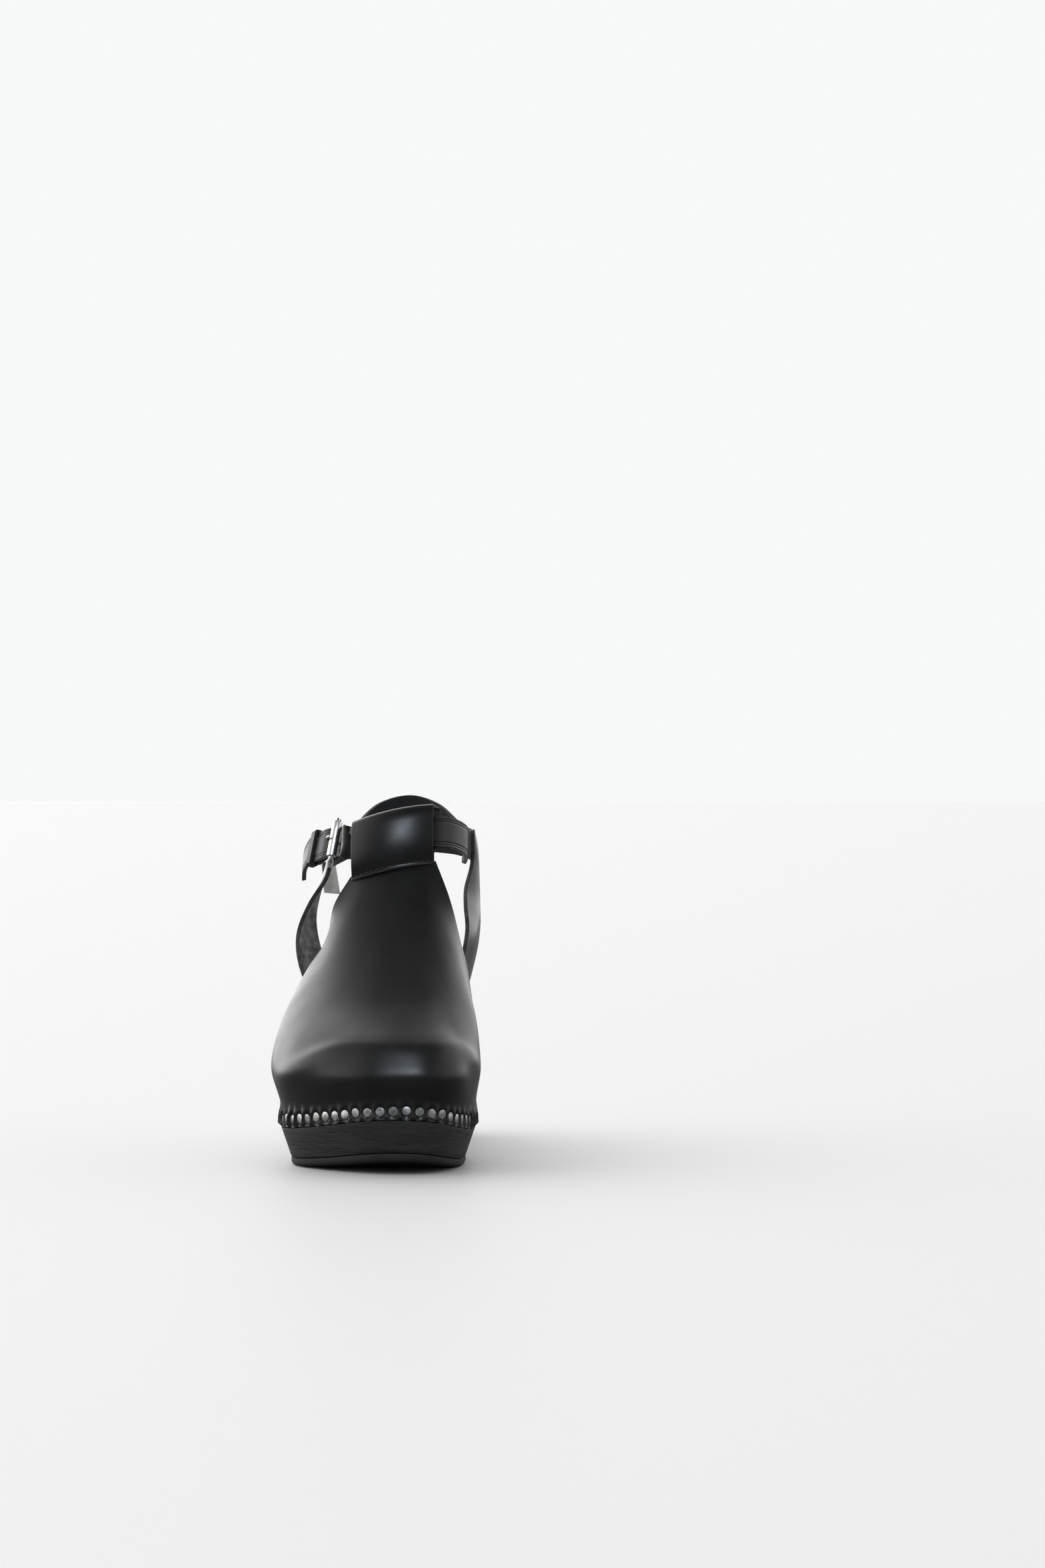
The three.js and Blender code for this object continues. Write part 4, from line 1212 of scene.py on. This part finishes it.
def acrossStrap():
    half = strap["width"] / 2
    inner = [half - i for i in strap["lineInset"]]
    offsets = {0.0, half, half - 0.5}
    for line in inner:
        offsets |= {line - 0.45, line - 0.2, line, line + 0.2, line + 0.45}
    offsets |= set(steps(0, inner[-1] - 0.9, 9))
    offsets = sorted(offsets)
    return [-o for o in offsets[:0:-1]] + offsets


def strapSheet():
    centres = [p for p, _ in strapPath]
    widths = [w.normalized() for _, w in strapPath]
    offsets = acrossStrap()
    half = strap["width"] / 2
    made = []
    for i in range(strap["columns"] + 1):
        t = i / strap["columns"]
        centre = curvePoint(centres, t)
        ahead = curvePoint(centres, min(1, t + 0.002)) - curvePoint(centres, max(0, t - 0.002))
        tangent = ahead.normalized()
        wide = curvePoint(widths, t)
        wide = (wide - tangent * wide.dot(tangent)).normalized()
        outer = wide.cross(tangent).normalized()
        tip = smooth((t - 0.985) / 0.015)
        row = []
        for o in offsets:
            groove = sum(
                math.exp(
                    -(((half - abs(o) - inset) / strap["lineWidth"]) ** 2)
                ) for inset in strap["lineInset"]
            )
            edge = 0.25 * smooth((abs(o) - half + 0.7) / 0.7)
            lift = leatherGauge / 2 - strap["line"] * groove - edge - 0.2 * tip
            row.append(centre + wide * o + outer * lift)
        made.append(row)
    return made


strapRows = strapSheet()
strapMesh = gridMesh("ankleStrap", shifted(strapRows))
ankleStrap = addPiece(
    "ankleStrap", strapMesh, stands=("ankle_strap",),
    materials=[strapFinish, suedeFinish, strapEdgeFinish],
)
faceOut(strapMesh, lambda centre: centre - (quarterMiddle + shift) * mm)
thicken(ankleStrap, leatherGauge - 0.1, faceMaterials=True, even=False)
punch = bmesh.new()
for back, out, down in strapHoles:
    place = Matrix.Translation(
        (buckleAt(back, out, down) + shift) * mm
    ) @ basis(runBack, barDown, -outwards).to_4x4()
    bmesh.ops.create_cone(
        punch, cap_ends=True, segments=24, radius1=strap["hole"] / 2 * mm, radius2=strap["hole"] / 2 * mm,
        depth=strap["punchDepth"] * mm, matrix=place,
    )
boxCutter(punch, buckleAt(*strap["slotAt"]), (*strap["slot"], slotWidth), turn)
cutWith(ankleStrap, punch)
settle(ankleStrap, 45)


def chapeStitches():
    level = leatherGauge / 2 + fit + chape["gauge"] + 0.05
    made = []
    for row in (-1, 1):
        for k in range(chape["stitches"]):
            back = chape["stitchStart"] + k * chape["stitchPitch"]
            down = row * (chape["width"] / 2 - chape["stitchInset"])
            end = back + chape["stitchPitch"] - chape["stitchGap"]
            made.append((buckleAt(back, level, down), buckleAt(end, level, down), outwards))
    return made


chapeThread = addPiece(
    "chapeStitching", stitchMesh("chapeStitching", chapeStitches(), chape["threadWidth"]),
    materials=[threadFinish],
)
settle(chapeThread, 80)
print("strap ready")


# Nails.

def nailHeadProfile():
    half = nails["head"] / 2
    dome = [
        (half * r, nails["domeHeight"] * h) for r, h in ((0, 1), (0.35, 0.97), (0.68, 0.86), (0.88, 0.66))
    ]
    return dome + [(half, nails["rim"]), (half, 0.0), (half * 0.8, -0.35), (0.7, -0.5), (0.7, -3), (0, -3)]


nailMesh = spunMesh("nailShape", nailHeadProfile(), Matrix.Identity(4), sides=18)


def nailsMesh(name, places):
    made = bmesh.new()
    for seat, outward in places:
        first = len(made.verts)
        made.from_mesh(nailMesh)
        made.verts.ensure_lookup_table()
        tilt = Matrix.Identity(4)
        for axis in "XY":
            tilt = tilt @ Matrix.Rotation(
                math.radians(chance.uniform(-nails["tilt"], nails["tilt"])), 4, axis,
            )
        spin = Matrix.Rotation(chance.uniform(0, 6.28), 4, "Z")
        size = Matrix.Scale(chance.uniform(0.93, 1.02), 4)
        face = outward.to_track_quat("Z", "Y").to_matrix().to_4x4()
        place = Matrix.Translation((seat + shift) * mm) @ face @ tilt @ spin @ size
        bmesh.ops.transform(made, matrix=place, verts=made.verts[first:])
    return meshFrom(made, name)


vampNails = []
for i in range(nailCount):
    point, outward = planAt(firstNail + nailStep * i)
    height = ledgeHeight(point.y) + nails["height"] + fit + chance.uniform(-0.3, 0.3)
    vampNails.append((Vector((point.x, point.y, height)) + outward * -nails["sunk"], outward))
legNails = []
for along, sign in ((quarter["nailRow"], -1), (1 - quarter["nailRow"], 1)):
    for i in range(nails["legCount"]):
        on = quarterPoint(along, (i + 0.5) / nails["legCount"])
        side = outerSide if sign < 0 else innerSide
        legNails.append((on, planAt(sign * runTo(side, on.y))[1]))
vampNodes = [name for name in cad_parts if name.startswith("vamp_nail")]
legNodes = [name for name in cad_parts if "_leg_nail_" in name]
vampRow = addPiece(
    "vampNails", nailsMesh("vampNails", vampNails), stands=vampNodes,
    materials=[nailFinish],
)
settle(vampRow, 40)
legRow = addPiece(
    "legNails", nailsMesh("legNails", legNails), stands=legNodes,
    materials=[nailFinish],
)
settle(legRow, 40)
print("nails ready")


# Floor, light and camera.

stage = {
    "floor": (0.8, 0.803, 0.803, 1), "floorMirrored": (0.15, 0.15, 0.153, 1), "sweep": (0.93, 0.95, 0.945, 1),
    "darkRoom": 0.05, "overhead": 0.13, "left": 2.15, "right": 0.8, "back": 1.7,
    "softboxAt": (0.25, -1.7, 1.15), "softboxAim": (0, 0, 0.06), "softboxSize": (0.8, 0.5),
    "softboxPower": 20,
    "softboxColour": (0.8, 0.89, 1.0), "sunPower": 1.35, "sunSpread": 80, "sunTurn": (-12, -14, 0),
    "cameraAt": (0.1390, -1.9182, 0.190), "cameraTurn": (90, 0, 2), "lens": 85.4,
}


def addObject(name, data, place=(0, 0, 0), turned=(0, 0, 0)):
    item = bpy.data.objects.new(name, data)
    item.location = place
    item.rotation_euler = [math.radians(angle) for angle in turned]
    bpy.context.scene.collection.objects.link(item)
    return item


def makeFloor():
    bm = bmesh.new()
    bmesh.ops.create_circle(bm, cap_ends=True, segments=96, radius=40)
    floor = addObject("floor", meshFrom(bm, "floor"))
    material, tree, shader = newMaterial("paleFloor", Roughness=0.6, Specular_IOR_Level=0.15)
    # painted shade: the floor seen in reflections is much darker than the floor itself, which darkens the
    # leather's lower reflections
    path = addNode(tree, "ShaderNodeLightPath")
    paint(
        tree, shader, mixColour(tree, path.outputs["Is Glossy Ray"], stage["floor"], stage["floorMirrored"]),
    )
    floor.data.materials.append(material)


def makeWorld():
    world = bpy.data.worlds.new("studio")
    bpy.context.scene.world = world
    world.use_nodes = True
    tree = world.node_tree
    tree.nodes.clear()
    place = addNode(tree, "ShaderNodeTexCoord")
    axes = addNode(tree, "ShaderNodeSeparateXYZ", {0: place.outputs["Generated"]})
    strength = None
    for axis, start, end, low, high in (
        ("Y", -1.0, 0.1, stage["darkRoom"], 1.0), ("Z", 0.3, 0.95, 1.0, stage["overhead"]),
        ("X", -0.9, 0.6, stage["left"], stage["right"]), ("Y", 0.2, 0.95, 1.0, stage["back"]),
    ):
        values = {
            "Value": axes.outputs[axis], "From Min": start, "From Max": end, "To Min": low, "To Max": high,
        }
        graded = addNode(tree, "ShaderNodeMapRange", values, interpolation_type="SMOOTHSTEP").outputs[0]
        strength = graded if strength is None else calculate(tree, "MULTIPLY", strength, graded)
    lit = addNode(tree, "ShaderNodeBackground", {"Color": (1.0, 1.0, 1.0, 1), "Strength": strength})
    seen = addNode(tree, "ShaderNodeBackground", {"Color": stage["sweep"], "Strength": 1.0})
    path = addNode(tree, "ShaderNodeLightPath")
    values = {0: path.outputs["Is Camera Ray"], 1: lit.outputs[0], 2: seen.outputs[0]}
    mix = addNode(tree, "ShaderNodeMixShader", values)
    addNode(tree, "ShaderNodeOutputWorld", {"Surface": mix.outputs[0]})


def makeLights():
    data = bpy.data.lights.new("frontSoftbox", "AREA")
    data.shape = "RECTANGLE"
    data.size, data.size_y = stage["softboxSize"]
    data.energy = stage["softboxPower"]
    data.color = stage["softboxColour"]
    softbox = addObject("frontSoftbox", data, stage["softboxAt"])
    aim = Vector(stage["softboxAim"]) - Vector(stage["softboxAt"])
    softbox.rotation_euler = aim.to_track_quat("-Z", "Y").to_euler()
    softbox.visible_diffuse = False  # it only draws glints
    data = bpy.data.lights.new("overhead", "SUN")
    data.energy = stage["sunPower"]
    data.angle = math.radians(stage["sunSpread"])
    addObject("overhead", data, turned=stage["sunTurn"]).visible_glossy = False


def makeCamera():
    data = bpy.data.cameras.new("camera")
    data.sensor_fit = "VERTICAL"
    data.sensor_height = 36
    data.lens = stage["lens"]
    bpy.context.scene.camera = addObject("camera", data, stage["cameraAt"], stage["cameraTurn"])
    bpy.context.scene.view_settings.view_transform = "Standard"


makeFloor()
makeWorld()
makeLights()
makeCamera()
print("stage ready")
